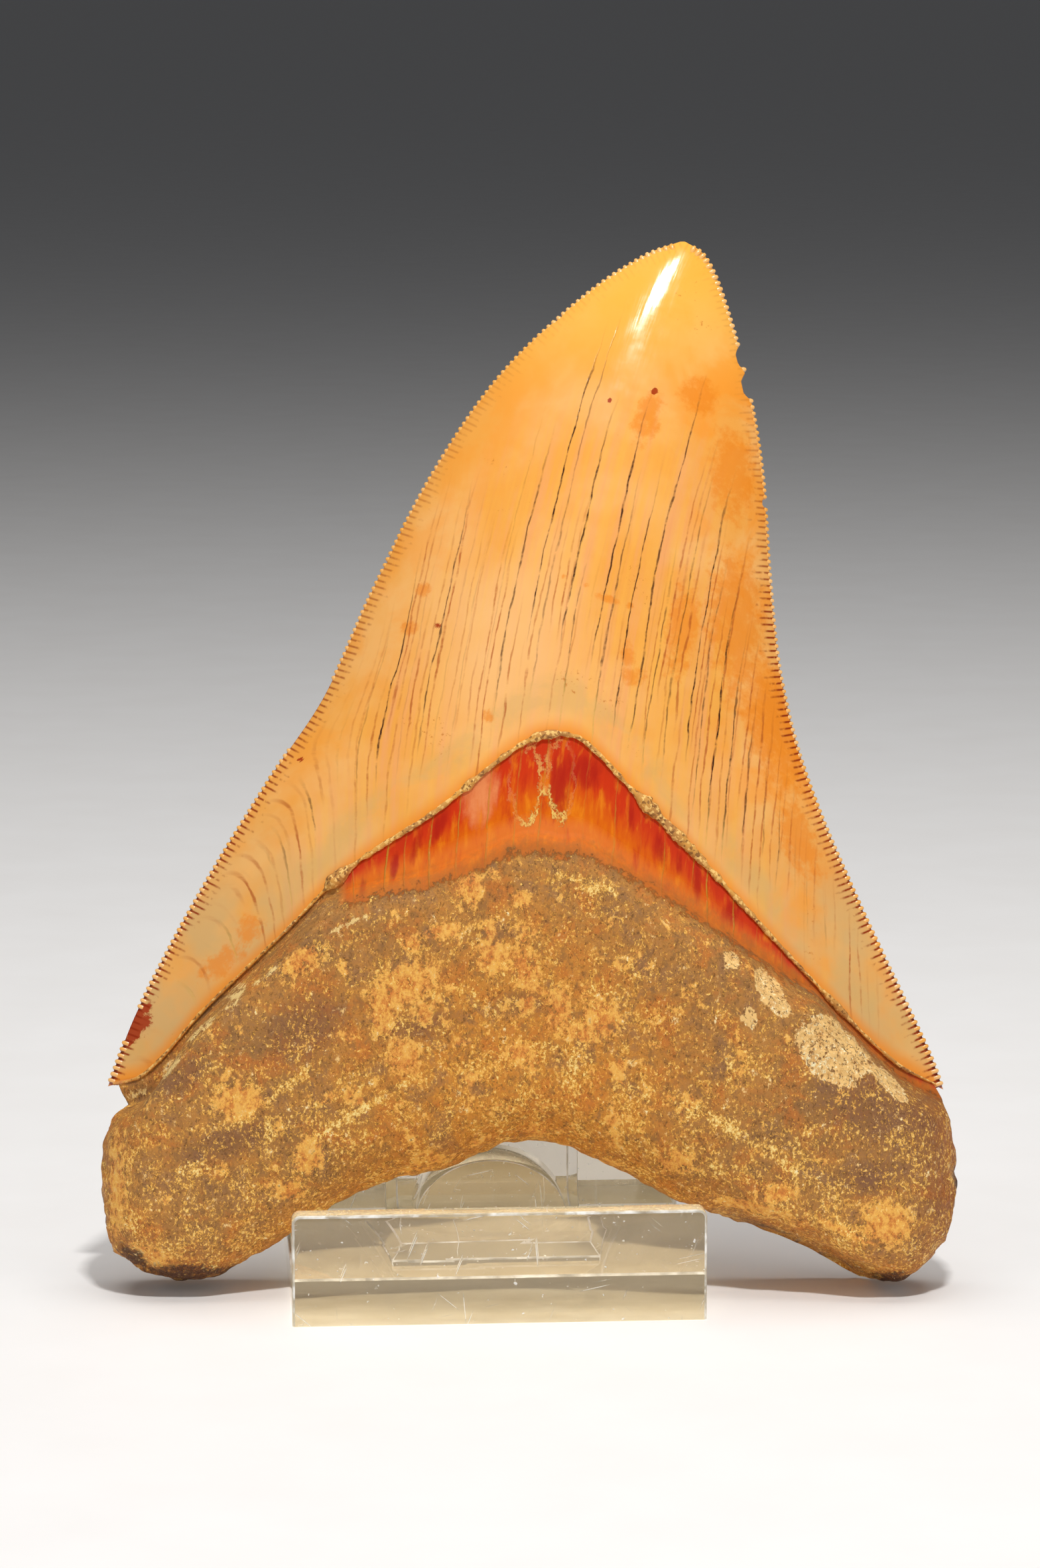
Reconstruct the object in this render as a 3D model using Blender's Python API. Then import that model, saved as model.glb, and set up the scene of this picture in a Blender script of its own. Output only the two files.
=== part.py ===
"""Megalodon tooth leaning back in a small clear acrylic display stand.

The tooth is one solid: the serrated enamel crown, the bourlette band below it
and the two-lobed root.  It stands on its root lobes, straddles the stand's base
plate and leans on the stand's back plate.  Axes: +X to the viewer's right, +Y
away from the viewer, +Z up.  The tooth's tongue-side face looks towards -Y.
"""
import bmesh
import bpy
from math import cos, pi, radians, sin, sqrt
from mathutils import Matrix, Vector

MM = 0.001
GAP = 0.3               # air left between two pieces that touch

TOOTH_LEAN = 15.0       # degrees that the crown is tipped back from upright

# The tooth's outline as seen square on: (across, up) in millimetres
TIP = (19.5, 131.1)
LEFT_CUTTING_EDGE = [
    (-52.4, 24.6), (-48.8, 34.0), (-41.2, 48.6), (-32.3, 63.3), (-25.8, 73.2), (-20.0, 86.1),
    (-12.4, 101.2), (-3.8, 113.9), (6.7, 124.0), (14.5, 129.3), TIP,
]
RIGHT_CUTTING_EDGE = [
    (51.6, 24.2), (49.9, 28.8), (40.8, 48.6), (34.8, 63.5), (31.7, 76.0), (30.4, 88.6),
    (29.6, 101.0), (27.8, 112.5), (24.7, 124.0), (22.3, 129.3), TIP,
]
ENAMEL_HEM = [
    (-52.4, 24.6), (-47.6, 25.9), (-40.1, 33.7), (-30.0, 43.1), (-22.3, 50.6), (-11.7, 57.4),
    (-0.9, 65.8), (3.2, 67.1), (6.6, 66.3), (13.0, 59.9), (20.3, 52.6), (34.1, 38.1),
    (44.9, 27.6), (51.6, 24.2),
]
ROOT_LEFT_SIDE = [(-51.6, 3.8), (-52.6, 8.5), (-53.0, 16.0), (-51.9, 20.2), (-49.9, 22.4)]
ROOT_RIGHT_SIDE = [(51.6, 5.2), (52.8, 9.5), (53.2, 15.6), (52.4, 19.6), (51.3, 22.9)]
ROOT_FOOT = [
    (-51.6, 3.8), (-47.6, 1.4), (-43.2, 0.2), (-38.6, 0.6), (-34.7, 2.8), (-29.4, 5.9),
    (-25.2, 8.5), (-18.2, 12.2), (-11.0, 13.8), (-4.0, 16.6), (0.4, 17.4), (4.6, 16.7),
    (11.2, 13.7), (18.0, 10.0), (26.5, 7.4), (34.0, 4.8), (41.0, 1.1), (44.8, 0.0),
    (47.8, 1.2), (51.6, 5.2),
]

# Bourlette: height of the bare band below the enamel hem, by place across
BOURLETTE_PEAK = 13.6
BOURLETTE_CENTRE = 4.0
BOURLETTE_LEFT_REACH = 29.0
BOURLETTE_RIGHT_REACH = 31.0
BOURLETTE_LEAST = 1.0   # crust line where the band has died out

CORNER_NOTCH = 0.12     # share of the width where the root tucks in under a crown corner

# Thickness: the tongue-side face stands proud of the cutting edges, and the
# lip-side face is nearly flat
CROWN_ROOT_HEIGHT = 30.0        # the crown is thickest at this height
CROWN_FRONT = 15.6
CROWN_BACK = 3.2
LIP_SIDE_HOLLOW = 0.55  # share of CROWN_BACK that the lip side's hollow takes away
ENAMEL_STEP = 0.45      # the bare band lies this far below the enamel
ROOT_STEP = 0.3         # the root's upper edge stands this far above the enamel's level
ROOT_FRONT = 15.6
LOBE_FRONT = 8.6
ROOT_BACK = 5.6
ROOT_HALF_WIDTH = 53.2
ROOT_ROUND = 6.5        # how far in from its outline the root is rounded
SHOULDER_ROUND = 5.0    # how far below the crown the root has swelled out
ROOT_MIDLINE = 2.4      # the root's outline lies this far in front of the edges
LOBE_FACET = -5.0       # on the right lobe's flat inner side it lies behind them
LOBE_FACET_SPAN = (21.0, 46.0)
FACET_ROUND = 2.6

# Serrations
SERRATION_PITCH = 0.82
SERRATION_DEPTH = 0.42
SMOOTH_STRETCH = (67.0, 75.5)   # height up the left edge with no serrations
TIP_SMOOTH = 3.0                # worn smooth this near the tip
BLADE_STRIP = 1.0       # width of the strip that joins the serrations to the grid

# The grid that the tooth is lofted on
COLUMNS = 34
CROWN_ROWS = 27
BAND_ROW_PLACES = [0.12, 0.55, 0.93]
ROOT_ROW_PLACES = [0.0, 0.025, 0.07, 0.14, 0.23, 0.34, 0.46, 0.58, 0.7, 0.82, 0.92, 1.0]
EDGE_CROWDING = 0.62    # 0 spaces the columns evenly, 1 crowds them to the edges

# The stand, in its own frame: its lip's inner face is y = 0, its middle x = 0
STAND_AT = (-3.7, -13.7)        # from the line on the table that the lobes stand on
STAND_TURN = 4.0        # turned a little under the tooth
STAND_WIDTH = 50.0
BASE_DEPTH = 50.0
BASE_THICK = 5.0
LIP_HEIGHT = 13.6
LIP_THICK = 3.0
LIP_CORNER = 1.0
STRIP_WIDTH = 24.5
STRIP_THICK = 1.6
STRIP_BEVEL = 1.4
STRIP_START = 6.7
STRIP_TOP = 44.0
STRIP_BEND = 3.0        # radius of the strip's heat bend, at its upper face
HEEL_OF_BEND = 1.0      # flat across the outside of that bend
BEND_STEPS = 8
CORNER_STEPS = 6
BACK_Y = 33.5           # back plate's front face
BACK_THICK = 3.0
BACK_TOP = 62.0
BACK_CORNER = 2.4
HEEL_WIDTH = 19.0
HEEL_HEIGHT = 7.6
HEEL_DEPTH = 9.0
HEEL_Y = 19.4           # its front face
HEEL_X = 0.4
HEEL_SIDES = 40
POLISH = 0.3            # width of the plates' polished edge bevels


# ---------------------------------------------------------------- helpers

def clear_scene():
    """Remove every object that the file starts with."""
    for item in list(bpy.data.objects):
        bpy.data.objects.remove(item, do_unlink=True)


def new_collection(name):
    collection = bpy.data.collections.new(name)
    bpy.context.scene.collection.children.link(collection)
    return collection


def material(name, colour, roughness, transmission=0.0, ior=1.5):
    """A Principled material with the piece's plain colour."""
    made = bpy.data.materials.new(name)
    made.use_nodes = True
    shader = made.node_tree.nodes["Principled BSDF"]
    shader.inputs["Base Color"].default_value = (*colour, 1.0)
    shader.inputs["Roughness"].default_value = roughness
    shader.inputs["Metallic"].default_value = 0.0
    shader.inputs["Transmission Weight"].default_value = transmission
    shader.inputs["IOR"].default_value = ior
    made.diffuse_color = (*colour, 1.0)
    return made


def add_object(name, shape, collection, finish, parent=None):
    """Put a bmesh into the scene as a named object and free it."""
    mesh = bpy.data.meshes.new(name)
    bmesh.ops.recalc_face_normals(shape, faces=shape.faces)
    shape.to_mesh(mesh)
    shape.free()
    mesh.materials.append(finish)
    item = bpy.data.objects.new(name, mesh)
    collection.objects.link(item)
    item.parent = parent
    return item


def spline(points, count):
    """count + 1 points, evenly spaced by length, on a smooth curve through points."""
    knots = [Vector((*p, 0.0)) for p in points]
    fine = []
    steps = 24
    for i in range(len(knots) - 1):
        before = knots[i - 1] if i > 0 else knots[i] * 2 - knots[i + 1]
        after = knots[i + 2] if i + 2 < len(knots) else knots[i + 1] * 2 - knots[i]
        start, end = knots[i], knots[i + 1]
        chord = (end - start).length
        pull_in = (end - before) * chord / ((end - start).length + (start - before).length)
        pull_out = (after - start) * chord / ((end - start).length + (after - end).length)
        for k in range(steps):
            t = k / steps
            fine.append(start * (2 * t**3 - 3 * t**2 + 1) + pull_in * (t**3 - 2 * t**2 + t)
                        + end * (3 * t**2 - 2 * t**3) + pull_out * (t**3 - t**2))
    fine.append(knots[-1])
    lengths = [0.0]
    for a, b in zip(fine, fine[1:]):
        lengths.append(lengths[-1] + (b - a).length)
    result = []
    j = 0
    for k in range(count + 1):
        goal = lengths[-1] * k / count
        while j < len(fine) - 2 and lengths[j + 1] < goal:
            j += 1
        part = (goal - lengths[j]) / (lengths[j + 1] - lengths[j])
        result.append(fine[j].lerp(fine[j + 1], min(1.0, part)))
    return result


def height_at(path, across):
    """Height of a left-to-right path at a place across."""
    for a, b in zip(path, path[1:]):
        if b.x >= across:
            part = (across - a.x) / max(b.x - a.x, 1e-6)
            return a.y + (b.y - a.y) * max(0.0, min(1.0, part))
    return path[-1].y


def ease(t):
    """0 to 1 with level ends."""
    t = max(0.0, min(1.0, t))
    return t * t * (3.0 - 2.0 * t)


def bulge_out(t):
    """Quarter circle: 0 at t = 0, levelling off at 1 from t = 1 on."""
    t = max(0.0, min(1.0, t))
    return sqrt(1.0 - (1.0 - t) ** 2)


# ---------------------------------------------------------------- the tooth

def bourlette_height(across):
    """How far the bare band reaches below the enamel hem."""
    offset = across - BOURLETTE_CENTRE
    reach = BOURLETTE_LEFT_REACH if offset < 0 else BOURLETTE_RIGHT_REACH
    fall = max(0.0, 1.0 - abs(offset) / reach)
    return BOURLETTE_LEAST + (BOURLETTE_PEAK - BOURLETTE_LEAST) * fall**0.9


def column_places():
    """Places across the grid, 0 at the left edge to 1 at the right."""
    places = []
    for i in range(COLUMNS + 1):
        even = i / COLUMNS
        crowded = 0.5 - 0.5 * cos(pi * even)
        places.append(even * (1 - EDGE_CROWDING) + crowded * EDGE_CROWDING)
    return places


def at_place(path, place):
    """Point a fraction of the way along an evenly spaced path."""
    exact = place * (len(path) - 1)
    i = min(int(exact), len(path) - 2)
    return path[i].lerp(path[i + 1], exact - i)


def across_at(path, height):
    """Place across of an upward path at a height."""
    for a, b in zip(path, path[1:]):
        if b.y >= height:
            part = (height - a.y) / max(b.y - a.y, 1e-6)
            return a.x + (b.x - a.x) * max(0.0, min(1.0, part))
    return path[-1].x


class Tooth:
    """The tooth's outline curves, and how thick it is inside them."""

    def __init__(self):
        self.left = spline(LEFT_CUTTING_EDGE, 300)
        self.right = spline(RIGHT_CUTTING_EDGE, 300)
        self.hem = spline(ENAMEL_HEM, 300)
        self.foot = spline(ROOT_FOOT, 300)
        self.root_left = spline(ROOT_LEFT_SIDE, 60)
        self.root_right = spline(ROOT_RIGHT_SIDE, 60)

    def hem_at(self, u):
        """The enamel's lower edge, u = 0 at the left corner to 1 at the right."""
        across = self.hem[0].x + (self.hem[-1].x - self.hem[0].x) * u
        return Vector((across, height_at(self.hem, across), 0.0))

    def root_top_at(self, u):
        """Upper edge of the root, below the bare band."""
        point = self.hem_at(u)
        point.y -= bourlette_height(point.x)
        drop = Vector((0.0, BOURLETTE_LEAST, 0.0))
        point += (self.root_left[-1] - self.hem[0] + drop) * ease(1.0 - u / CORNER_NOTCH)
        point += (self.root_right[-1] - self.hem[-1] + drop) * ease(1.0 - (1.0 - u) / CORNER_NOTCH)
        return point

    def root_at(self, u, v):
        """Coons patch over the root, v = 0 at its foot to 1 at its upper edge."""
        sides = at_place(self.root_left, v) * (1 - u) + at_place(self.root_right, v) * u
        ends = at_place(self.foot, u) * (1 - v) + self.root_top_at(u) * v
        low = self.root_left[0] * (1 - u) + self.root_right[0] * u
        high = self.root_left[-1] * (1 - u) + self.root_right[-1] * u
        return sides + ends - low * (1 - v) - high * v

    def crown_side(self, across, up):
        """-1 at the left cutting edge to 1 at the right, at this height."""
        left = across_at(self.left, up)
        right = across_at(self.right, up)
        return (2 * across - left - right) / max(right - left, 0.5)

    def crown_depths(self, across, up):
        """How far the two enamel faces stand off the cutting edges."""
        side = max(-1.0, min(1.0, self.crown_side(across, up)))
        risen = max(0.0, (up - CROWN_ROOT_HEIGHT) / (TIP[1] - CROWN_ROOT_HEIGHT))
        taper = max(0.0, 1 - min(1.0, risen) ** 1.7) ** 0.85
        lens = (1 - side * side) ** (1.0 - 0.25 * risen)
        hollow = 1 - LIP_SIDE_HOLLOW * max(0.0, 1 - risen * 1.6) * (1 - side * side) ** 2
        return CROWN_FRONT * taper * lens, CROWN_BACK * (1 - risen ** 4) * lens * hollow

    def root_depths(self, u, v, point):
        """Front and back of the root over the plane of the cutting edges."""
        start, end = LOBE_FACET_SPAN
        facet = ease((point.x - start) / 7.0) * ease((end - point.x) / 5.0) * (1 - ease(v / 0.35))
        middle = ROOT_MIDLINE * (1 - v) * (1 - facet) + LOBE_FACET * facet
        if v == 0.0 or u in (0.0, 1.0):
            return middle, middle
        rounding = ROOT_ROUND * (1 - facet) + FACET_ROUND * facet
        level = bulge_out((point.y - at_place(self.foot, u).y) / rounding)
        level *= bulge_out((ROOT_HALF_WIDTH - abs(point.x)) / (ROOT_ROUND * 1.15))
        side = 2 * u - 1
        swell = (1 - abs(side) ** 2.6) ** 0.5
        lobe = LOBE_FRONT + 1.6 * v
        front = lobe + (ROOT_FRONT - lobe) * swell * ease(0.15 + 0.85 * v)
        back = ROOT_BACK * (0.8 + 0.2 * (1 - side * side)) * (1 - 0.25 * v)
        top = self.root_top_at(u)
        crown_front, crown_back = self.crown_depths(top.x, top.y)
        shoulder = bulge_out((top.y - point.y) / SHOULDER_ROUND)
        front = crown_front + ROOT_STEP + (front - crown_front - ROOT_STEP) * shoulder
        back = crown_back + ROOT_STEP + (back - crown_back - ROOT_STEP) * shoulder
        return middle + (front - middle) * level, middle - (back + middle) * level


def root_and_band_rows(tooth, places):
    """Rows of (across, up, front, back) from the root's foot to the enamel hem."""
    rows = []
    for v in ROOT_ROW_PLACES:
        row = []
        for u in places:
            point = tooth.root_at(u, v)
            row.append((point.x, point.y, *tooth.root_depths(u, v, point)))
        rows.append(row)
    root_top = rows[-1]
    for part in BAND_ROW_PLACES:
        row = []
        for u, low in zip(places, root_top):
            high = tooth.hem_at(u)
            across = low[0] * (1 - part) + high.x * part
            up = low[1] * (1 - part) + high.y * part
            front, back = tooth.crown_depths(across, up)
            sunk = ENAMEL_STEP * min(1.0, front / 3.0)
            if u in (0.0, 1.0):
                sunk = front = back = 0.0
            row.append((across, up, front - sunk, sunk - back))
        rows.append(row)
    return rows


def serrated_edge(points):
    """A cutting edge cut into serrations: a list of points every half pitch."""
    path = spline(points, 400)
    length = sum((b - a).length for a, b in zip(path, path[1:]))
    steps = 2 * round(length / SERRATION_PITCH)
    path = spline(points, steps)
    outer = 1 if points[0][0] > 0 else -1
    result = []
    for k, point in enumerate(path):
        along = path[min(k + 1, steps)] - path[max(k - 1, 0)]
        outward = Vector((along.y, -along.x, 0.0)).normalized() * outer
        smooth = outer < 0 and SMOOTH_STRETCH[0] < point.y < SMOOTH_STRETCH[1]
        smooth = smooth or (point - path[-1]).length < TIP_SMOOTH or k == 0
        depth = 0.0 if smooth else SERRATION_DEPTH / 2
        result.append(point + outward * (depth if k % 2 else -depth))
    return result


def build_tooth(collection, finish):
    """Loft the tooth over its rows, with both cutting edges serrated."""
    tooth = Tooth()
    places = column_places()
    shape = bmesh.new()

    def vertex(across, up, out):
        return shape.verts.new(Vector((across, -out, up)) * MM)

    front_grid, back_grid = [], []
    for row in root_and_band_rows(tooth, places):
        front = [vertex(a, s, f) for a, s, f, b in row]
        back = [made if f - b < 1e-6 else vertex(a, s, b) for made, (a, s, f, b) in zip(front, row)]
        front_grid.append(front)
        back_grid.append(back)
    first_crown = len(front_grid)

    edges = [serrated_edge(LEFT_CUTTING_EDGE), serrated_edge(RIGHT_CUTTING_EDGE)]
    tip = vertex(*TIP, 0.0)
    rims = [[vertex(p.x, p.y, 0.0) for p in edge[:-1]] + [tip] for edge in edges]
    rises = [1 - (1 - k / CROWN_ROWS) ** 1.08 for k in range(CROWN_ROWS)]
    marks = [[round(w * (len(rim) - 1)) for w in rises] + [len(rim) - 1] for rim in rims]
    inner = [(u - places[1]) / (places[-2] - places[1]) for u in places[1:-1]]
    bows = [tooth.hem_at(u) - tooth.hem_at(0.0) * (1 - u) - tooth.hem_at(1.0) * u for u in inner]
    for w, left_mark, right_mark in zip(rises, *marks):
        inset = BLADE_STRIP / (edges[1][right_mark] - edges[0][left_mark]).length
        left = edges[0][left_mark].lerp(edges[1][right_mark], inset)
        right = edges[1][right_mark].lerp(edges[0][left_mark], inset)
        front, back = [rims[0][left_mark]], [rims[0][left_mark]]
        for u, bow in zip(inner, bows):
            point = left * (1 - u) + right * u + bow * (1 - w) ** 1.15
            forward, backward = tooth.crown_depths(point.x, point.y)
            front.append(vertex(point.x, point.y, forward))
            back.append(vertex(point.x, point.y, -backward))
        front_grid.append(front + [rims[1][right_mark]])
        back_grid.append(back + [rims[1][right_mark]])

    for grid in (front_grid, back_grid):
        for r, (low, high) in enumerate(zip(grid, grid[1:])):
            margin = 1 if r >= first_crown else 0
            for c in range(margin, COLUMNS - margin):
                corners = [low[c], low[c + 1], high[c + 1], high[c]]
                shape.faces.new(list(dict.fromkeys(corners)))
        for c in range(1, COLUMNS - 1):
            shape.faces.new([grid[-1][c], grid[-1][c + 1], tip])
        crown = grid[first_crown:]
        for rim, mark, column in ((rims[0], marks[0], 1), (rims[1], marks[1], -2)):
            for r, row in enumerate(crown):
                above = crown[r + 1][column] if r + 1 < len(crown) else None
                fan_edge(shape, rim[mark[r]:mark[r + 1] + 1], row[column], above)

    item = add_object("tooth", shape, collection, finish)
    item.rotation_euler = (-radians(TOOTH_LEAN), 0.0, 0.0)
    return item


def fan_edge(shape, rim, inner_low, inner_high):
    """Triangles between a run of the serrated rim and one cell of the grid."""
    half = len(rim) // 2 if inner_high else len(rim) - 1
    for a, b in zip(rim[:half], rim[1:half + 1]):
        shape.faces.new([a, b, inner_low])
    if inner_high:
        shape.faces.new([rim[half], inner_high, inner_low])
        for a, b in zip(rim[half:-1], rim[half + 1:]):
            shape.faces.new([a, b, inner_high])


# ---------------------------------------------------------------- the stand

def block(size, centre, bevel=POLISH):
    """A box with narrow polished bevels."""
    shape = bmesh.new()
    bmesh.ops.create_cube(shape, size=1.0, matrix=Matrix.Diagonal((*(Vector(size) * MM), 1.0)))
    bmesh.ops.translate(shape, verts=shape.verts, vec=Vector(centre) * MM)
    bmesh.ops.bevel(shape, geom=shape.edges[:], offset=bevel * MM, segments=1, affect="EDGES")
    return shape


def plate_from_outline(points, thick):
    """Give a flat ring of points a thickness along the vector thick."""
    shape = bmesh.new()
    ring = [shape.verts.new(Vector(point) * MM) for point in points]
    face = shape.faces.new(ring)
    grown = bmesh.ops.extrude_face_region(shape, geom=[face])
    moved = [item for item in grown["geom"] if isinstance(item, bmesh.types.BMVert)]
    bmesh.ops.translate(shape, verts=moved, vec=Vector(thick) * MM)
    return shape


def rounded_plate(width, bottom, top, thick, y_front, corner):
    """An upright plate with two rounded top corners."""
    half = width / 2
    points = [(-half, y_front, bottom), (half, y_front, bottom)]
    for side, first in ((1, 0.0), (-1, pi / 2)):
        for k in range(CORNER_STEPS + 1):
            angle = first + k * pi / 2 / CORNER_STEPS
            across = side * (half - corner) + corner * cos(angle)
            points.append((across, y_front, top - corner + corner * sin(angle)))
    return plate_from_outline(points, (0.0, thick, 0.0))


def build_strip():
    """The bevelled strip: flat on the base, bent up against the back plate."""
    low = BASE_THICK + GAP
    high = low + STRIP_THICK
    back = BACK_Y - GAP
    face = back - STRIP_THICK
    shown = [(STRIP_TOP, face)]
    for k in range(BEND_STEPS + 1):
        angle = k * pi / 2 / BEND_STEPS
        shown.append((high + STRIP_BEND * (1 - sin(angle)), face - STRIP_BEND * (1 - cos(angle))))
    shown.append((high, STRIP_START))
    hidden = [(low, STRIP_START), (low, back - HEEL_OF_BEND), (low + HEEL_OF_BEND, back), (STRIP_TOP, back)]
    half = STRIP_WIDTH / 2
    shape = plate_from_outline([(-half, y, z) for z, y in hidden + shown], (STRIP_WIDTH, 0.0, 0.0))

    def is_shown(vert):
        return any(abs(vert.co.z / MM - z) + abs(vert.co.y / MM - y) < 1e-3 for z, y in shown)

    def is_end(vert):
        return abs(vert.co.z / MM - STRIP_TOP) < 1e-3 or abs(vert.co.y / MM - STRIP_START) < 1e-3

    rim = []
    for edge in shape.edges:
        first, last = edge.verts
        lengthwise = abs(first.co.x - last.co.x) < 1e-6
        if is_shown(first) and is_shown(last) and (lengthwise or is_end(first) and is_end(last)):
            rim.append(edge)
    bmesh.ops.bevel(shape, geom=rim, offset=STRIP_BEVEL * MM, segments=1, affect="EDGES")
    return shape


def build_heel():
    """The half-round block behind the root."""
    shape = bmesh.new()
    bmesh.ops.create_cone(shape, cap_ends=True, segments=HEEL_SIDES, radius1=HEEL_WIDTH / 2 * MM,
                          radius2=HEEL_WIDTH / 2 * MM, depth=HEEL_DEPTH * MM,
                          matrix=Matrix.Rotation(pi / 2, 4, "X"))
    bmesh.ops.scale(shape, verts=shape.verts, vec=(1.0, 1.0, 2 * HEEL_HEIGHT / HEEL_WIDTH))
    cut = bmesh.ops.bisect_plane(shape, geom=shape.verts[:] + shape.edges[:] + shape.faces[:],
                                 plane_co=(0, 0, 0), plane_no=(0, 0, -1), clear_outer=True)
    open_edges = [item for item in cut["geom_cut"] if isinstance(item, bmesh.types.BMEdge)]
    bmesh.ops.contextual_create(shape, geom=open_edges)
    floor = BASE_THICK + STRIP_THICK + 2 * GAP
    bmesh.ops.translate(shape, verts=shape.verts,
                        vec=Vector((HEEL_X, HEEL_Y + HEEL_DEPTH / 2, floor)) * MM)
    return shape


def build_stand(collection, finish):
    """Every acrylic piece, under one empty that turns the stand."""
    stand = bpy.data.objects.new("stand_frame", None)
    collection.objects.link(stand)
    stand.location = Vector((*STAND_AT, 0.0)) * MM
    stand.rotation_euler = (0.0, 0.0, radians(STAND_TURN))
    base = block((STAND_WIDTH, BASE_DEPTH, BASE_THICK), (0.0, BASE_DEPTH / 2, BASE_THICK / 2))
    add_object("base_plate", base, collection, finish("base_plate"), stand)
    lip = rounded_plate(STAND_WIDTH, 0.0, LIP_HEIGHT, LIP_THICK, -GAP - LIP_THICK, LIP_CORNER)
    add_object("front_lip", lip, collection, finish("front_lip"), stand)
    back = rounded_plate(STAND_WIDTH, BASE_THICK + GAP, BACK_TOP, BACK_THICK, BACK_Y, BACK_CORNER)
    add_object("back_plate", back, collection, finish("back_plate"), stand)
    add_object("bent_strip", build_strip(), collection, finish("bent_strip"), stand)
    add_object("heel_block", build_heel(), collection, finish("heel_block"), stand)


def centre_on_origin(collection):
    """Stand the tooth on z = 0 and put the middle of everything on the Z axis."""
    tooth = bpy.data.objects["tooth"]
    bpy.context.view_layer.update()
    tooth.location.z -= min((tooth.matrix_world @ v.co).z for v in tooth.data.vertices)
    bpy.context.view_layer.update()
    corners = [item.matrix_world @ v.co for item in collection.objects if item.type == "MESH"
               for v in item.data.vertices]
    middle = Vector([(min(c[i] for c in corners) + max(c[i] for c in corners)) / 2 for i in (0, 1)] + [0])
    for item in collection.objects:
        if item.parent is None:
            item.location -= middle


def main():
    clear_scene()
    collection = new_collection("megalodon_tooth_on_stand")
    fossil = material("tooth_fossil", (0.80, 0.48, 0.18), 0.35)
    build_tooth(collection, fossil)
    build_stand(collection, lambda name: material("clear_" + name, (0.93, 0.95, 0.93), 0.04, 1.0, 1.49))
    centre_on_origin(collection)


main()
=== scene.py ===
# %% [markdown]
# # A megalodon tooth in a clear acrylic stand
# The subject is a fossil shark tooth, 131 mm from the feet of its root to its tip.
# It stands on the two lobes of its root and leans back in a small display stand.
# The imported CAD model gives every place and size. This lesson keeps that frame and
# builds what the eye enjoys on top of it: glossy enamel with fine cracks, beaded
# cutting edges, a gritty root and scuffed clear plastic.

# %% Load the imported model
from functools import partial
from math import cos, pi, radians, sin

import bmesh
import bpy
import numpy as np
from mathutils import Matrix, Vector, noise


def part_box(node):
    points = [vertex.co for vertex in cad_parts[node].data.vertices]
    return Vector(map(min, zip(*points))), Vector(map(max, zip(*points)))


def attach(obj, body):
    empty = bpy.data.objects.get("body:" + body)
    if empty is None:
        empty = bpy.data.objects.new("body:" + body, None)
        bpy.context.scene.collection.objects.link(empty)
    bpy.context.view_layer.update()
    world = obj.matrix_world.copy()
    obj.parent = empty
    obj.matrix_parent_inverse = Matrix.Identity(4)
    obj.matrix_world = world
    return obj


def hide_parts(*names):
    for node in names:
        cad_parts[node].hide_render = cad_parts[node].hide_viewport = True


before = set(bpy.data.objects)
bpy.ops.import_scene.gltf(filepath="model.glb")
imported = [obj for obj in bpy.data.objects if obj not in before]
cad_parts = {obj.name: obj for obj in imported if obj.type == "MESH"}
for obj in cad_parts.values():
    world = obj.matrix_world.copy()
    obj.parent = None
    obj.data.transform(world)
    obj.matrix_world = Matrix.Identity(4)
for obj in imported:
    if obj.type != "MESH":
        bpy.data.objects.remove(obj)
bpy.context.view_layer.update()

MM = 0.001
print("CAD nodes:", sorted(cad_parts))

# %% [markdown]
# ## The tooth's own measure
# A tooth is easiest to draw square on, so every outline is a list of (across, up)
# places in millimetres: up runs from the feet of the root to the tip, and across runs
# from the tooth's middle to the viewer's right. A smooth curve through a few measured
# places is cheaper than a traced outline, and it can be sampled as finely as needed.

# %% Outlines
TIP = (19.5, 131.1)
LEFT_CUTTING_EDGE = [
    (-52.4, 24.6), (-48.8, 34.0), (-41.2, 48.6), (-32.3, 63.3), (-25.8, 73.2), (-20.0, 86.1),
    (-12.4, 101.2), (-3.8, 113.9), (6.7, 124.0), (14.5, 129.3), TIP,
]
RIGHT_CUTTING_EDGE = [
    (51.6, 24.2), (49.9, 28.8), (40.8, 48.6), (34.8, 63.5), (31.7, 76.0), (30.4, 88.6),
    (29.6, 101.0), (27.8, 112.5), (24.7, 124.0), (22.3, 129.3), TIP,
]
ENAMEL_HEM = [
    (-52.4, 24.6), (-47.6, 25.9), (-40.1, 33.7), (-30.0, 43.1), (-22.3, 50.6), (-11.7, 57.4),
    (-0.9, 65.8), (3.2, 67.1), (6.6, 66.3), (13.0, 59.9), (20.3, 52.6), (34.1, 38.1),
    (44.9, 27.6), (51.6, 24.2),
]
ROOT_LEFT_SIDE = [(-51.6, 3.8), (-52.6, 8.5), (-53.0, 16.0), (-51.9, 20.2), (-49.9, 22.4)]
ROOT_RIGHT_SIDE = [(51.6, 5.2), (52.8, 9.5), (53.2, 15.6), (52.4, 19.6), (51.3, 22.9)]
ROOT_FOOT = [
    (-51.6, 3.8), (-47.6, 1.4), (-43.2, 0.2), (-38.6, 0.6), (-34.7, 2.8), (-29.4, 5.9),
    (-25.2, 8.5), (-18.2, 12.2), (-11.0, 13.8), (-4.0, 16.6), (0.4, 17.4), (4.6, 16.7),
    (11.2, 13.7), (18.0, 10.0), (26.5, 7.4), (34.0, 4.8), (41.0, 1.1), (44.8, 0.0),
    (47.8, 1.2), (51.6, 5.2),
]


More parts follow.
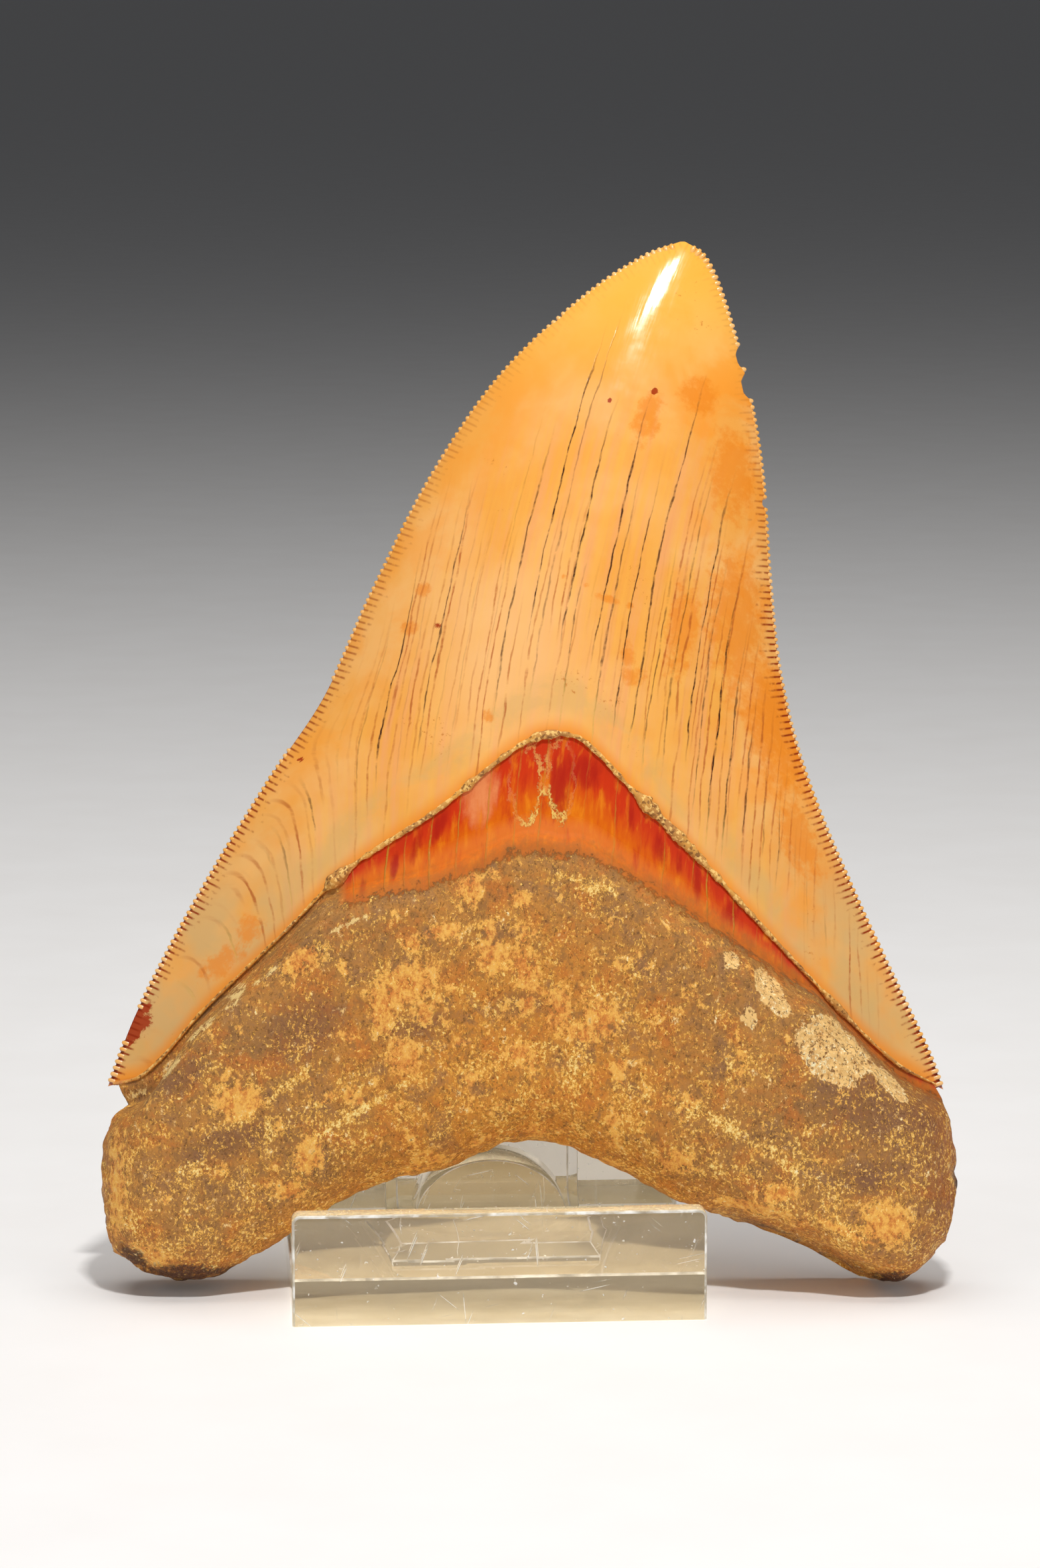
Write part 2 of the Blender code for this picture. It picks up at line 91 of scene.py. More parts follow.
def smooth_path(points, count, steps=24):
    """count + 1 points, evenly spaced by length, on a smooth curve through points."""
    knots = np.array(points, float)
    knots = np.vstack([2 * knots[0] - knots[1], knots, 2 * knots[-1] - knots[-2]])
    t = np.arange(steps)[:, None] / steps
    fine = []
    for before, start, end, after in zip(knots, knots[1:], knots[2:], knots[3:]):
        chord, lead, trail = (np.linalg.norm(v) for v in (end - start, start - before, after - end))
        pull_in = (end - before) * chord / (chord + lead)
        pull_out = (after - start) * chord / (chord + trail)
        fine.append(start * (2 * t**3 - 3 * t**2 + 1) + pull_in * (t**3 - 2 * t**2 + t)
                    + end * (3 * t**2 - 2 * t**3) + pull_out * (t**3 - t**2))
    fine = np.vstack(fine + [knots[-2:-1]])
    run = np.concatenate([[0.0], np.cumsum(np.linalg.norm(np.diff(fine, axis=0), axis=1))])
    goals = np.linspace(0.0, run[-1], count + 1)
    return np.stack([np.interp(goals, run, fine[:, k]) for k in (0, 1)], axis=1)


left_edge, right_edge = smooth_path(LEFT_CUTTING_EDGE, 900), smooth_path(RIGHT_CUTTING_EDGE, 900)
hem, foot = smooth_path(ENAMEL_HEM, 600), smooth_path(ROOT_FOOT, 600)
root_left, root_right = smooth_path(ROOT_LEFT_SIDE, 200), smooth_path(ROOT_RIGHT_SIDE, 200)
edge_lengths = [np.linalg.norm(np.diff(edge, axis=0), axis=1).sum() for edge in (left_edge, right_edge)]
print("cutting edges are %.1f and %.1f mm long" % tuple(edge_lengths))

# %% [markdown]
# ## How thick the tooth is
# The tongue-side face is a swelling lens, and the lip-side face is nearly flat. Both
# are rules of the place on the outline, so one function gives both depths for a whole
# grid of places at once. The root is a rounded slab that swells over the middle.

# %% Depths of the crown
CROWN_ROOT_HEIGHT = 30.0        # the crown is thickest at this height; all sizes are in mm
CROWN_FRONT = 15.6              # the tongue-side face stands off the cutting edges this far at most
CROWN_BACK = 3.2                # and the lip-side face this far
LIP_SIDE_HOLLOW = 0.55          # share of that taken back low in its middle


def ease(t):
    """0 to 1 with level ends."""
    t = np.clip(t, 0.0, 1.0)
    return t * t * (3.0 - 2.0 * t)


def bulge_out(t):
    """Quarter circle: 0 at t = 0, levelling off at 1 from t = 1 on."""
    return np.sqrt(1.0 - (1.0 - np.clip(t, 0.0, 1.0)) ** 2)


def along_path(path, place):
    """Points at places 0 to 1 along an evenly spaced path."""
    steps = np.linspace(0.0, 1.0, len(path))
    return np.stack([np.interp(place, steps, path[:, k]) for k in (0, 1)], axis=-1)


def crown_depths(across, up):
    """How far the two enamel faces stand off the plane of the cutting edges."""
    left = np.interp(up, left_edge[:, 1], left_edge[:, 0])
    right = np.interp(up, right_edge[:, 1], right_edge[:, 0])
    side = np.clip((2 * across - left - right) / np.maximum(right - left, 0.5), -1.0, 1.0)
    risen = np.clip((up - CROWN_ROOT_HEIGHT) / (TIP[1] - CROWN_ROOT_HEIGHT), 0.0, 1.0)
    taper = (1 - risen**1.7) ** 0.85
    lens = (1 - side * side) ** (1.0 - 0.25 * risen)
    hollow = 1 - LIP_SIDE_HOLLOW * np.maximum(0.0, 1 - risen * 1.6) * (1 - side * side) ** 2
    return CROWN_FRONT * taper * lens, CROWN_BACK * (1 - risen**4) * lens * hollow


print("thickest crown section: %.1f mm in front, %.1f mm behind"
      % tuple(float(d) for d in crown_depths(np.array(0.0), np.array(34.0))))

# %% Depths of the root
BOURLETTE_PEAK = 13.6           # the bare band below the enamel, at its highest
BOURLETTE_CENTRE = 4.0
BOURLETTE_REACH = (29.0, 31.0)  # how far it runs to the left and to the right
BOURLETTE_LEAST = 1.0           # its height at its two ends
CORNER_NOTCH = 0.12             # share of the width that each corner notch takes
ENAMEL_STEP = 0.45              # the bare band lies this far below the enamel
ROOT_STEP = 0.12                # the root starts this far above the bare band
SHOULDER_POWER = 1.6            # above 1 the shoulder rises softly from the bare band
SHOULDER_ROUND = 5.0            # it rises over this height
ROOT_FRONT = 15.6               # the root's front depth over the middle, and over its two lobes
LOBE_FRONT = 8.6
ROOT_BACK = 5.6
ROOT_HALF_WIDTH = 53.2
ROOT_ROUND = 6.5                # radius of the rounding along the foot
ROOT_MIDLINE = 2.4              # the foot's line lies this far forward
LOBE_FACET = -5.0               # the right lobe's flat inner side faces the viewer
LOBE_FACET_SPAN = (21.0, 46.0)
FACET_ROUND = 2.6               # the foot's rounding below that flat side


def bourlette_height(across):
    """How far the bare band reaches below the enamel hem."""
    offset = across - BOURLETTE_CENTRE
    fall = np.maximum(0.0, 1 - np.abs(offset) / np.where(offset < 0, *BOURLETTE_REACH))
    return BOURLETTE_LEAST + (BOURLETTE_PEAK - BOURLETTE_LEAST) * fall**0.9


def root_top_at(u):
    """The root's upper edge, u = 0 at the left corner to 1 at the right."""
    across = hem[0, 0] + (hem[-1, 0] - hem[0, 0]) * u
    up = np.interp(across, hem[:, 0], hem[:, 1]) - bourlette_height(across)
    drop = np.array([0.0, BOURLETTE_LEAST])
    left_tuck = (root_left[-1] - hem[0] + drop) * ease(1 - u / CORNER_NOTCH)[..., None]
    right_tuck = (root_right[-1] - hem[-1] + drop) * ease(1 - (1 - u) / CORNER_NOTCH)[..., None]
    return np.stack([across, up], axis=-1) + left_tuck + right_tuck


def root_depths(u, v, point):
    """Front and back of the root over the plane of the cutting edges."""
    across, up = point[..., 0], point[..., 1]
    start, end = LOBE_FACET_SPAN
    facet = ease((across - start) / 7.0) * ease((end - across) / 5.0) * (1 - ease(v / 0.35))
    middle = ROOT_MIDLINE * (1 - v) * (1 - facet) + LOBE_FACET * facet
    rounding = ROOT_ROUND * (1 - facet) + FACET_ROUND * facet
    level = bulge_out((up - along_path(foot, u)[..., 1]) / rounding)
    level = level * bulge_out((ROOT_HALF_WIDTH - np.abs(across)) / (ROOT_ROUND * 1.15))
    level = np.where((v == 0) | (u == 0) | (u == 1), 0.0, level)
    side = 2 * u - 1
    lobe = LOBE_FRONT + 1.6 * v
    front = lobe + (ROOT_FRONT - lobe) * np.sqrt(1 - np.abs(side) ** 2.6) * ease(0.15 + 0.85 * v)
    back = ROOT_BACK * (0.8 + 0.2 * (1 - side * side)) * (1 - 0.25 * v)
    top = root_top_at(u)
    crown_front, crown_back = crown_depths(top[..., 0], top[..., 1])
    shoulder = bulge_out((top[..., 1] - up) / SHOULDER_ROUND) ** SHOULDER_POWER
    front = crown_front + ROOT_STEP + (front - crown_front - ROOT_STEP) * shoulder
    back = crown_back + ROOT_STEP + (back - crown_back - ROOT_STEP) * shoulder
    return middle + (front - middle) * level, middle - (back + middle) * level


print("bare band:", float(bourlette_height(BOURLETTE_CENTRE)), "mm high at its peak")

# %% [markdown]
# ## Two grids, front and back
# Crown and root are each one closed shell: a grid of points over the front, the same
# grid over the back, and a strip of faces round the rim. A grid that follows the
# outline keeps the vertices in rows along the hem and the edges, so the colour zones
# that start there stay crisp. Each vertex also keeps its own flat place, (across, up,
# out) in millimetres, as an attribute: the finishes read it, and it turns with nothing.

# %% Shell builder
def closed_shell(name, front, back):
    """A closed mesh from two grids of (across, up, out) points, in millimetres."""
    rows, columns = front.shape[:2]
    numbers = np.arange(rows * columns).reshape(rows, columns)
    behind = numbers + rows * columns

    def quads(a, b):
        return np.stack([a[:-1], b[:-1], b[1:], a[1:]], axis=-1).reshape(-1, 4)

    faces = [np.stack([g[:-1, :-1], g[:-1, 1:], g[1:, 1:], g[1:, :-1]], axis=-1).reshape(-1, 4)
             for g in (numbers, behind[:, ::-1])]
    for ring, inner in ((numbers[:, 0], behind[:, 0]), (numbers[:, -1], behind[:, -1]),
                        (numbers[0], behind[0]), (numbers[-1], behind[-1])):
        faces.append(quads(ring, inner))
    mesh = bpy.data.meshes.new(name)
    points = np.concatenate([front.reshape(-1, 3), back.reshape(-1, 3)])
    mesh.from_pydata(points.tolist(), [], np.concatenate(faces).tolist())
    place = mesh.attributes.new("tooth_place", "FLOAT_VECTOR", "POINT")
    place.data.foreach_set("vector", points.astype(np.float32).ravel())
    shape = bmesh.new()
    shape.from_mesh(mesh)
    bmesh.ops.remove_doubles(shape, verts=shape.verts, dist=0.004)
    bmesh.ops.dissolve_degenerate(shape, edges=shape.edges, dist=0.001)
    bmesh.ops.recalc_face_normals(shape, faces=shape.faces)
    for face in shape.faces:
        face.smooth = True
    shape.to_mesh(mesh)
    shape.free()
    return mesh


def read_points(mesh, normals=False):
    """A mesh's vertex places, or its vertex normals, as rows of x, y, z."""
    values = np.empty(len(mesh.vertices) * 3, np.float32)
    source = mesh.vertex_normals if normals else mesh.vertices
    source.foreach_get("vector" if normals else "co", values)
    return values.reshape(-1, 3).astype(float)


def store(mesh, name, values):
    """Keep one number for each vertex under a name that the finishes can read."""
    layer = mesh.attributes.new(name, "FLOAT", "POINT")
    layer.data.foreach_set("value", np.asarray(values, np.float32))


# %% Crown grid
SERRATION_PITCH = 0.82  # from one serration to the next, in mm
CROWN_COLUMNS = 190
CROWN_ROWS = 215
EDGE_INSET = 0.22       # the bare blade between the serrations stops this far in
RIM_SINK = 0.7          # the enamel turns in this far along its hem
# Places along a cutting edge that are broken away: (up, half length, depth), in mm
EDGE_CHIPS = [
    [(90.6, 1.7, 0.15), (121.2, 0.8, 0.22)],
    [(116.0, 1.6, 0.65), (112.4, 1.9, 0.8), (97.5, 0.8, 0.4)],
]


def outward_of(path, outer):
    """Unit vectors that point out of the tooth, square to its cutting edge."""
    along = np.gradient(path, axis=0)
    along /= np.linalg.norm(along, axis=1)[:, None]
    return np.stack([along[:, 1], -along[:, 0]], axis=1) * outer


def chip_depth(path, chips):
    """How much of the edge is missing at each point of its path."""
    lost = np.zeros(len(path))
    for up, half, depth in chips:
        lost = np.maximum(lost, depth * ease(1.6 * (1 - np.abs(path[:, 1] - up) / half)))
    return lost


def crown_grid():
    """Front and back grids of the enamel, from its hem to the tip."""
    even = np.linspace(0, 1, CROWN_COLUMNS + 1)
    u = even * 0.55 + (0.5 - 0.5 * np.cos(pi * even)) * 0.45
    w = 1 - (1 - np.linspace(0, 1, CROWN_ROWS + 1)) ** 1.08
    rims = []
    for path, outer, chips in zip((left_edge, right_edge), (-1, 1), EDGE_CHIPS):
        fade = ease((TIP[1] - path[:, 1]) / 2.0)
        inset = (EDGE_INSET * fade + chip_depth(path, chips))[:, None]
        rims.append(along_path(path - outward_of(path, outer) * inset, w)[:, None, :])
    across = hem[0, 0] + (hem[-1, 0] - hem[0, 0]) * u
    bow = np.interp(across, hem[:, 0], hem[:, 1]) - hem[0, 1] * (1 - u) - hem[-1, 1] * u
    flat = rims[0] * (1 - u[None, :, None]) + rims[1] * u[None, :, None]
    flat[..., 1] += bow[None, :] * (1 - w[:, None]) ** 1.15
    front, back = crown_depths(flat[..., 0], flat[..., 1])
    under = flat[:1].copy()
    sunk = np.minimum(RIM_SINK, 0.45 * front[:1])
    front = np.concatenate([front[:1] - sunk, front])
    back = np.concatenate([back[:1] * 0.55, back])
    flat = np.concatenate([under, flat])
    return np.dstack([flat, front]), np.dstack([flat, -back])


crown_mesh = closed_shell("tooth_crown", *crown_grid())
print("crown:", len(crown_mesh.vertices), "vertices")

# %% Root grid
ROOT_COLUMNS = 250
ROOT_ROWS = 105
BAND_ROWS = 26
BAND_HIDDEN = 0.18              # share of the bare band's height that runs on under the enamel
CORNER_TUCK = 1.5               # the bare band stops this far inside the crown's lower corners


def root_grid():
    """Front and back grids of root and bare band; the last rows hide under the enamel."""
    even = np.linspace(0, 1, ROOT_COLUMNS + 1)
    u = even * 0.6 + (0.5 - 0.5 * np.cos(pi * even)) * 0.4
    t = np.linspace(0, 1, ROOT_ROWS + 1)
    v = (t * 0.55 + (0.5 - 0.5 * np.cos(pi * t)) * 0.45)[:, None]
    low = root_left[0] * (1 - u[:, None]) + root_right[0] * u[:, None]
    high = root_left[-1] * (1 - u[:, None]) + root_right[-1] * u[:, None]
    sides = along_path(root_left, v) * (1 - u[None, :, None]) + along_path(root_right, v) * u[None, :, None]
    ends = along_path(foot, u)[None] * (1 - v[..., None]) + root_top_at(u)[None] * v[..., None]
    flat = sides + ends - low[None] * (1 - v[..., None]) - high[None] * v[..., None]
    uu, vv = np.broadcast_to(u[None], flat.shape[:2]), np.broadcast_to(v, flat.shape[:2])
    front, back = root_depths(uu, vv, flat)

    part = np.linspace(0, 1 + BAND_HIDDEN, BAND_ROWS + 1)[1:, None, None]
    top = np.stack([hem[0, 0] + (hem[-1, 0] - hem[0, 0]) * u] * 2, axis=-1)
    tuck = 1.0 - ease(np.minimum(u, 1 - u) / 0.03)
    top[:, 0] += CORNER_TUCK * np.where(u < 0.5, tuck, -tuck)
    top[:, 1] = np.interp(top[:, 0], hem[:, 0], hem[:, 1])
    band = flat[-1][None] * (1 - part) + top[None] * part
    band[..., 1] += np.maximum(0.0, part[..., 0] - 1) * 4.0
    band_front, band_back = crown_depths(band[..., 0], band[..., 1])
    sunk = ENAMEL_STEP * np.minimum(1.0, band_front / 3.0)
    front = np.concatenate([front, band_front - sunk])
    back = np.concatenate([back, sunk - band_back])
    flat = np.concatenate([flat, band])
    return np.dstack([flat, front]), np.dstack([flat, back])


root_mesh = closed_shell("tooth_root", *root_grid())
print("root:", len(root_mesh.vertices), "vertices")

# %% [markdown]
# ## Relief
# A root is gritty bone: lumpy over a centimetre, pitted over a millimetre, crumbled
# along its rim, with a few chips where pale porous bone shows. Relief this coarse is
# moved in the mesh, along each vertex's own normal and always inwards, so that the
# piece stays inside the CAD solid. Finer grit is left to the finish.

# %% Carve the root
# Chips in the root: (across, up, half width, half height, turn in degrees, depth)
PALE_CHIPS = [
    (37.4, 28.6, 4.9, 4.0, -40, 0.9), (29.5, 35.4, 3.4, 1.5, -62, 0.7),
    (43.9, 24.6, 3.3, 1.2, -48, 0.6), (24.7, 39.3, 1.0, 1.1, 0, 0.35),
    (26.8, 32.1, 0.9, 1.2, 0, 0.3), (-45.2, 26.8, 1.6, 0.6, 38, 0.4),
]


def chip_share(point, chips=PALE_CHIPS):
    """1 inside a chip, 0 outside, with a ragged border."""
    ragged = 0.35 * noise.noise(point * 0.45) + 0.3 * noise.noise(point * 1.3)
    share, depth = 0.0, 0.0
    for across, up, wide, high, turn, deep in chips:
        x, y = point.x - across, point.y - up
        c, s = cos(radians(turn)), sin(radians(turn))
        reach = ((x * c + y * s) / wide) ** 2 + ((y * c - x * s) / high) ** 2
        inside = float(ease((1.25 + ragged - reach) / 0.5)) if point.z > 0 else 0.0
        if inside > share:
            share, depth = inside, deep
    return share, depth


def carve_root(mesh):
    """Move the root's surface in by its lumps, pits, crumbled rim and chips."""
    points, normals = read_points(mesh), read_points(mesh, normals=True)
    chips = np.zeros(len(points))
    sunk = np.zeros(len(points))
    hem_up = np.interp(points[:, 0], hem[:, 0], hem[:, 1])
    band_low = hem_up - bourlette_height(points[:, 0])
    foot_up = np.interp(points[:, 0], foot[:, 0], foot[:, 1])
    for i, point in enumerate(points):
        p = Vector(point)
        in_root = float(ease((band_low[i] - p.y) / 2.0))
        lumps = 0.22 + 0.22 * noise.noise(p / 8.0) + 0.12 * noise.noise(p / 2.6)
        grit = 0.10 * abs(noise.noise(p / 0.9)) + 0.05 * abs(noise.noise(p / 0.45))
        rim = ease(1 - min(p.y - foot_up[i], ROOT_HALF_WIDTH - abs(p.x)) / 4.0)
        crumble = 0.55 * float(rim) * max(0.0, noise.noise(p / 2.1 + Vector((7, 3, 1))) + 0.25)
        share, depth = chip_share(p)
        chips[i] = share * in_root
        pits = depth * (0.75 + 0.6 * noise.noise(p / 1.1))
        sunk[i] = in_root * (lumps + grit + crumble) * (1 - share) + share * in_root * pits
    mesh.vertices.foreach_set("co", (points - normals * sunk[:, None]).astype(np.float32).ravel())
    store(mesh, "chip", chips)
    return sunk


sunk = carve_root(root_mesh)
print("root carved in by %.2f mm on average, %.2f mm at most" % (sunk.mean(), sunk.max()))

# %% [markdown]
# ## Numbers that the finishes need
# Stains gather in the notches of the edge, the bare band has its own colours, and the
# cracks of the enamel run up the crown and lean with its curve. Each is simplest as a
# number at every vertex: how far from the edge, how far from the hem, and a "flow"
# coordinate that stays the same all along one crack. Single patches of colour are
# ovals, listed one by one: the number is 0 on the oval and up to 1 inside it, and the
# finish adds noise to it, so that the patch's border comes out ragged.

# %% Patches of colour
# Ovals in mm: (across, up, half width, half height, turn in degrees)
ROOT_PATCHES = {
    "peach": [
        (-7.1, 48.1, 1.5, 2.6, 0), (-0.9, 46.6, 1.3, 1.0, 0), (-27.6, 39.1, 3.0, 1.4, 35),
        (-15.2, 36.2, 4.4, 2.4, 25),
        (-17.8, 33.4, 1.6, 3.4, 0), (-4.4, 39.6, 2.0, 2.0, 0), (-0.5, 38.2, 1.6, 3.2, 10),
        (3.7, 33.3, 1.6, 2.8, 0), (8.7, 32.1, 2.4, 2.4, 0), (-15.2, 27.5, 2.1, 2.1, 0),
        (-1.2, 28.1, 1.7, 1.4, 0), (-10.5, 42.7, 2.6, 0.9, 10), (-14.3, 41.2, 1.4, 1.0, 0),
        (-35.3, 22.1, 2.8, 2.4, 0), (-50.8, 12.0, 1.5, 6.0, 0),
        (-26.8, 15.5, 1.8, 2.4, -15), (-29.1, 11.3, 2.0, 1.1, 0), (-46.8, 3.4, 3.0, 1.2, -15),
        (18.0, 14.8, 2.4, 1.4, 0), (30.3, 10.9, 2.4, 1.1, 5), (27.8, 9.0, 5.0, 0.7, -14),
        (38.5, 6.3, 4.0, 0.6, -24), (43.6, 7.2, 3.2, 2.6, -20),
    ],
    "gold": [
        (-20.2, 21.3, 6.4, 0.5, 32), (-29.7, 23.6, 4.6, 0.6, 36), (-31.8, 18.2, 0.45, 2.4, 0),
        (-36.8, 19.4, 3.6, 0.7, 14), (1.8, 28.9, 3.6, 0.45, -6), (5.4, 26.8, 0.5, 1.8, 0),
        (24.4, 26.3, 0.45, 1.7, 0), (25.0, 18.4, 4.6, 0.7, -34), (31.0, 14.6, 3.6, 0.6, -50),
        (7.4, 48.4, 3.6, 0.9, -16), (-40.6, 14.0, 2.2, 0.8, 10), (19.9, 21.2, 1.8, 0.9, 0),
    ],
    "pale": [
        (-22.0, 43.6, 3.2, 0.3, 24), (-35.8, 35.2, 0.9, 1.7, -20), (-31.5, 38.0, 2.4, 0.25, 38),
        (-39.8, 31.2, 2.2, 0.4, 44), (-44.0, 26.6, 2.0, 0.7, 42), (-48.6, 23.6, 1.2, 0.5, 22),
    ],
    "smoky": [
        (-35.4, 22.0, 1.0, 0.9, 0), (-13.6, 31.4, 4.4, 1.6, 10), (-1.0, 34.0, 2.6, 1.4, 0),
        (41.9, 12.8, 3.6, 2.0, 10), (40.4, 24.0, 4.2, 1.6, -38), (47.4, 20.6, 3.0, 1.6, -38),
        (33.4, 40.2, 6.0, 1.0, -45), (-36.0, 17.4, 6.0, 1.8, 20), (27.5, 42.0, 4.5, 1.3, -42),
        (-27.0, 31.0, 4.4, 3.0, 30), (-42.0, 25.0, 3.0, 1.5, 40), (42.0, 22.0, 7.0, 4.5, -38),
    ],
    "burnt": [
        (-42.8, 0.9, 7.0, 1.2, 3), (-48.8, 3.2, 2.2, 0.9, -38), (-52.9, 17.4, 0.9, 4.0, 0),
        (-52.6, 8.0, 0.5, 4.0, 0), (44.8, 0.0, 5.0, 1.0, 0), (52.9, 12.0, 0.9, 3.0, 0),
        (34.5, 3.9, 8.0, 0.6, -26),
    ],
}
BAND_PATCHES = {
    "crimson": [
        (3.7, 60.6, 1.4, 4.0, 0), (6.6, 62.4, 1.9, 2.2, 20), (-13.8, 53.2, 0.6, 2.4, -14),
        (-16.6, 50.6, 0.5, 2.0, -8), (-10.9, 55.8, 0.7, 2.3, -24), (-20.3, 47.8, 0.5, 1.7, 0),
        (12.4, 57.2, 0.45, 2.3, 0), (16.2, 52.6, 0.6, 2.6, 8), (18.4, 51.4, 0.4, 1.8, 0),
        (20.6, 49.2, 0.6, 2.4, 0), (24.8, 45.4, 1.1, 2.0, -20),
    ],
    "wrinkled": [(-6.0, 60.0, 2.2, 4.0, -8)],
    "panel": [(-0.5, 61.2, 1.9, 5.0, 0), (3.9, 61.6, 1.7, 5.0, 0)],
}
CROWN_PATCHES = {
    "rusty": [
        (-48.7, 32.2, 1.5, 3.0, -36), (-11.3, 81.1, 0.45, 0.4, 0), (-28.4, 65.0, 0.45, 0.4, 0),
        (15.7, 110.9, 0.5, 0.5, 0), (10.1, 109.6, 0.35, 0.4, 0),
    ],
    "amber": [
        (12.8, 74.4, 1.5, 1.2, 0), (12.2, 77.2, 0.9, 1.6, 0), (-13.0, 85.8, 1.0, 1.0, 0),
        (-14.9, 81.1, 1.2, 1.0, 0), (-4.9, 69.3, 0.9, 0.8, 0), (9.8, 84.1, 1.6, 0.6, -20),
        (12.4, 83.3, 0.5, 0.4, 0), (7.1, 85.8, 0.5, 0.4, 0), (4.3, 86.9, 0.4, 0.4, 0),
        (25.5, 100.9, 2.6, 6.0, 0), (21.2, 110.5, 2.6, 2.4, 0), (14.8, 107.4, 1.6, 3.6, -20),
        (25.8, 81.5, 3.6, 9.0, 0), (19.0, 80.7, 2.0, 6.0, -10), (30.9, 68.7, 4.0, 9.0, 15),
        (33.6, 55.0, 2.4, 5.0, 18), (-34.4, 43.5, 1.8, 1.8, 0), (-38.0, 39.5, 3.0, 1.6, 30),
    ],
}

all_patches = {**ROOT_PATCHES, **BAND_PATCHES, **CROWN_PATCHES}
print("ovals:", {name: len(patches) for name, patches in all_patches.items()})

# %% Store the patches
FLANK = (51.2, 52.4)            # over this stretch the surface turns to face sideways
FLANK_DEPTH = 4.0               # half an oval's depth on the flank


def patch_level(flat, patches):
    """1 in the middle of the nearest oval, 0 on its line, -2 well outside. Front face only."""
    level = np.full(len(flat), -2.0)
    for across, up, wide, high, turn in patches:
        c, s = cos(radians(turn)), sin(radians(turn))
        x, y = flat[:, 0] - across, flat[:, 1] - up
        level = np.maximum(level, 1 - ((x * c + y * s) / wide) ** 2 - ((y * c - x * s) / high) ** 2)
    # On the flanks, which face sideways, an oval is round in depth too
    flank = ease((np.abs(flat[:, 0]) - FLANK[0]) / (FLANK[1] - FLANK[0]))
    level -= flank * (flat[:, 2] / FLANK_DEPTH) ** 2
    return np.where((flat[:, 2] > -1.5) | (flank > 0.5), level, -2.0)


def flat_places(mesh):
    """The undisturbed (across, up, out) place of each vertex, in mm."""
    flat = np.empty(len(mesh.vertices) * 3, np.float32)
    mesh.attributes["tooth_place"].data.foreach_get("vector", flat)
    return flat.reshape(-1, 3).astype(float)


for mesh, groups in ((root_mesh, {**ROOT_PATCHES, **BAND_PATCHES}), (crown_mesh, CROWN_PATCHES)):
    places = flat_places(mesh)
    for name, patches in groups.items():
        store(mesh, name, patch_level(places, patches))
    print(mesh.name, "carries", list(groups))

# %% Store the distances
def nearest_on(path, flat, outer):
    """Distance to a path, inwards, and how far along it the nearest point lies, in mm."""
    steps = np.concatenate([[0.0], np.cumsum(np.linalg.norm(np.diff(path, axis=0), axis=1))])
    outward = outward_of(path, outer)
    gone, run = np.full(len(flat), 99.0), np.zeros(len(flat))
    for start in range(0, len(flat), 4000):
        some = flat[start:start + 4000]
        gaps = np.linalg.norm(some[:, None] - path[None, ::3], axis=2)
        best = gaps.argmin(axis=1) * 3
        offset = some - path[best]
        along = np.stack([-outward[best][:, 1], outward[best][:, 0]], axis=1)
        gone[start:start + 4000] = -(offset * outward[best]).sum(axis=1)
        run[start:start + 4000] = steps[best] + (offset * along).sum(axis=1) * outer
    return gone, run


def store_distances(mesh):
    """Edge, hem and flow coordinates for a piece of the tooth, from its flat places."""
    across, up = flat_places(mesh).T[:2]
    from_left, run_left = nearest_on(left_edge, np.stack([across, up], axis=1), -1)
    from_right, run_right = nearest_on(right_edge, np.stack([across, up], axis=1), 1)
    is_left = from_left < from_right
    store(mesh, "from_edge", np.where(is_left, from_left, from_right))
    store(mesh, "edge_run", np.where(is_left, run_left, run_right) / SERRATION_PITCH)
    store(mesh, "left_side", is_left)
    hem_up = np.interp(across, hem[:, 0], hem[:, 1])
    store(mesh, "above_hem", up - hem_up)
    store(mesh, "above_root", up - hem_up + bourlette_height(across))
    # Higher up the cracks lean more and more to the right, and low on the left they flare out
    rise = np.maximum(0.0, up - 48.0)
    lean = 0.05 * rise + 0.0019 * rise**2
    flare = 9.0 * np.exp(-np.maximum(0, from_left) / 5.0) * ease((80 - up) / 20)
    store(mesh, "flow", across - lean + flare)
    foot_up = np.interp(across, foot[:, 0], foot[:, 1])
    store(mesh, "from_rim", np.minimum(up - foot_up, ROOT_HALF_WIDTH - np.abs(across)))


store_distances(crown_mesh)
store_distances(root_mesh)
print("crown attributes:", [layer.name for layer in crown_mesh.attributes])

# %% [markdown]
# ## Lean the tooth back
# The tooth is built square on and then tipped 15 degrees back about its feet, as it
# stands. Its place comes from the CAD node's box, so the new pieces lie where the
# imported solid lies. The turn goes into the vertices, so every object stays at the origin.

# %% Place the tooth
TOOTH_LEAN = 15.0
stood_up = Matrix(((1, 0, 0), (0, 0, -1), (0, 1, 0)))        # (across, up, out) to x, y, z
lean_turn = np.array(Matrix.Rotation(-radians(TOOTH_LEAN), 3, "X") @ stood_up)


def turned_places(mesh):
    """The undisturbed flat places of a mesh, leaned back, in millimetres."""
    return flat_places(mesh) @ lean_turn.T


low_corner, high_corner = (np.array(corner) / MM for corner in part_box("tooth"))
both = np.vstack([turned_places(crown_mesh), turned_places(root_mesh)])
tooth_offset = (low_corner + high_corner) / 2 - (both.min(0) + both.max(0)) / 2
print("tooth moved by", tooth_offset.round(2), "mm; box sizes differ by",
      (np.ptp(both, axis=0) - (high_corner - low_corner)).round(2), "mm")


def stand_up(points):
    """Flat (across, up, out) millimetres to places in the frame, in metres."""
    return (np.asarray(points) @ lean_turn.T + tooth_offset) * MM


def add_piece(name, mesh, *finishes):
    """Link a mesh whose places are in the frame, with its finishes."""
    for finish in finishes:
        mesh.materials.append(finish)
    piece = bpy.data.objects.new(name, mesh)
    bpy.context.scene.collection.objects.link(piece)
    return piece


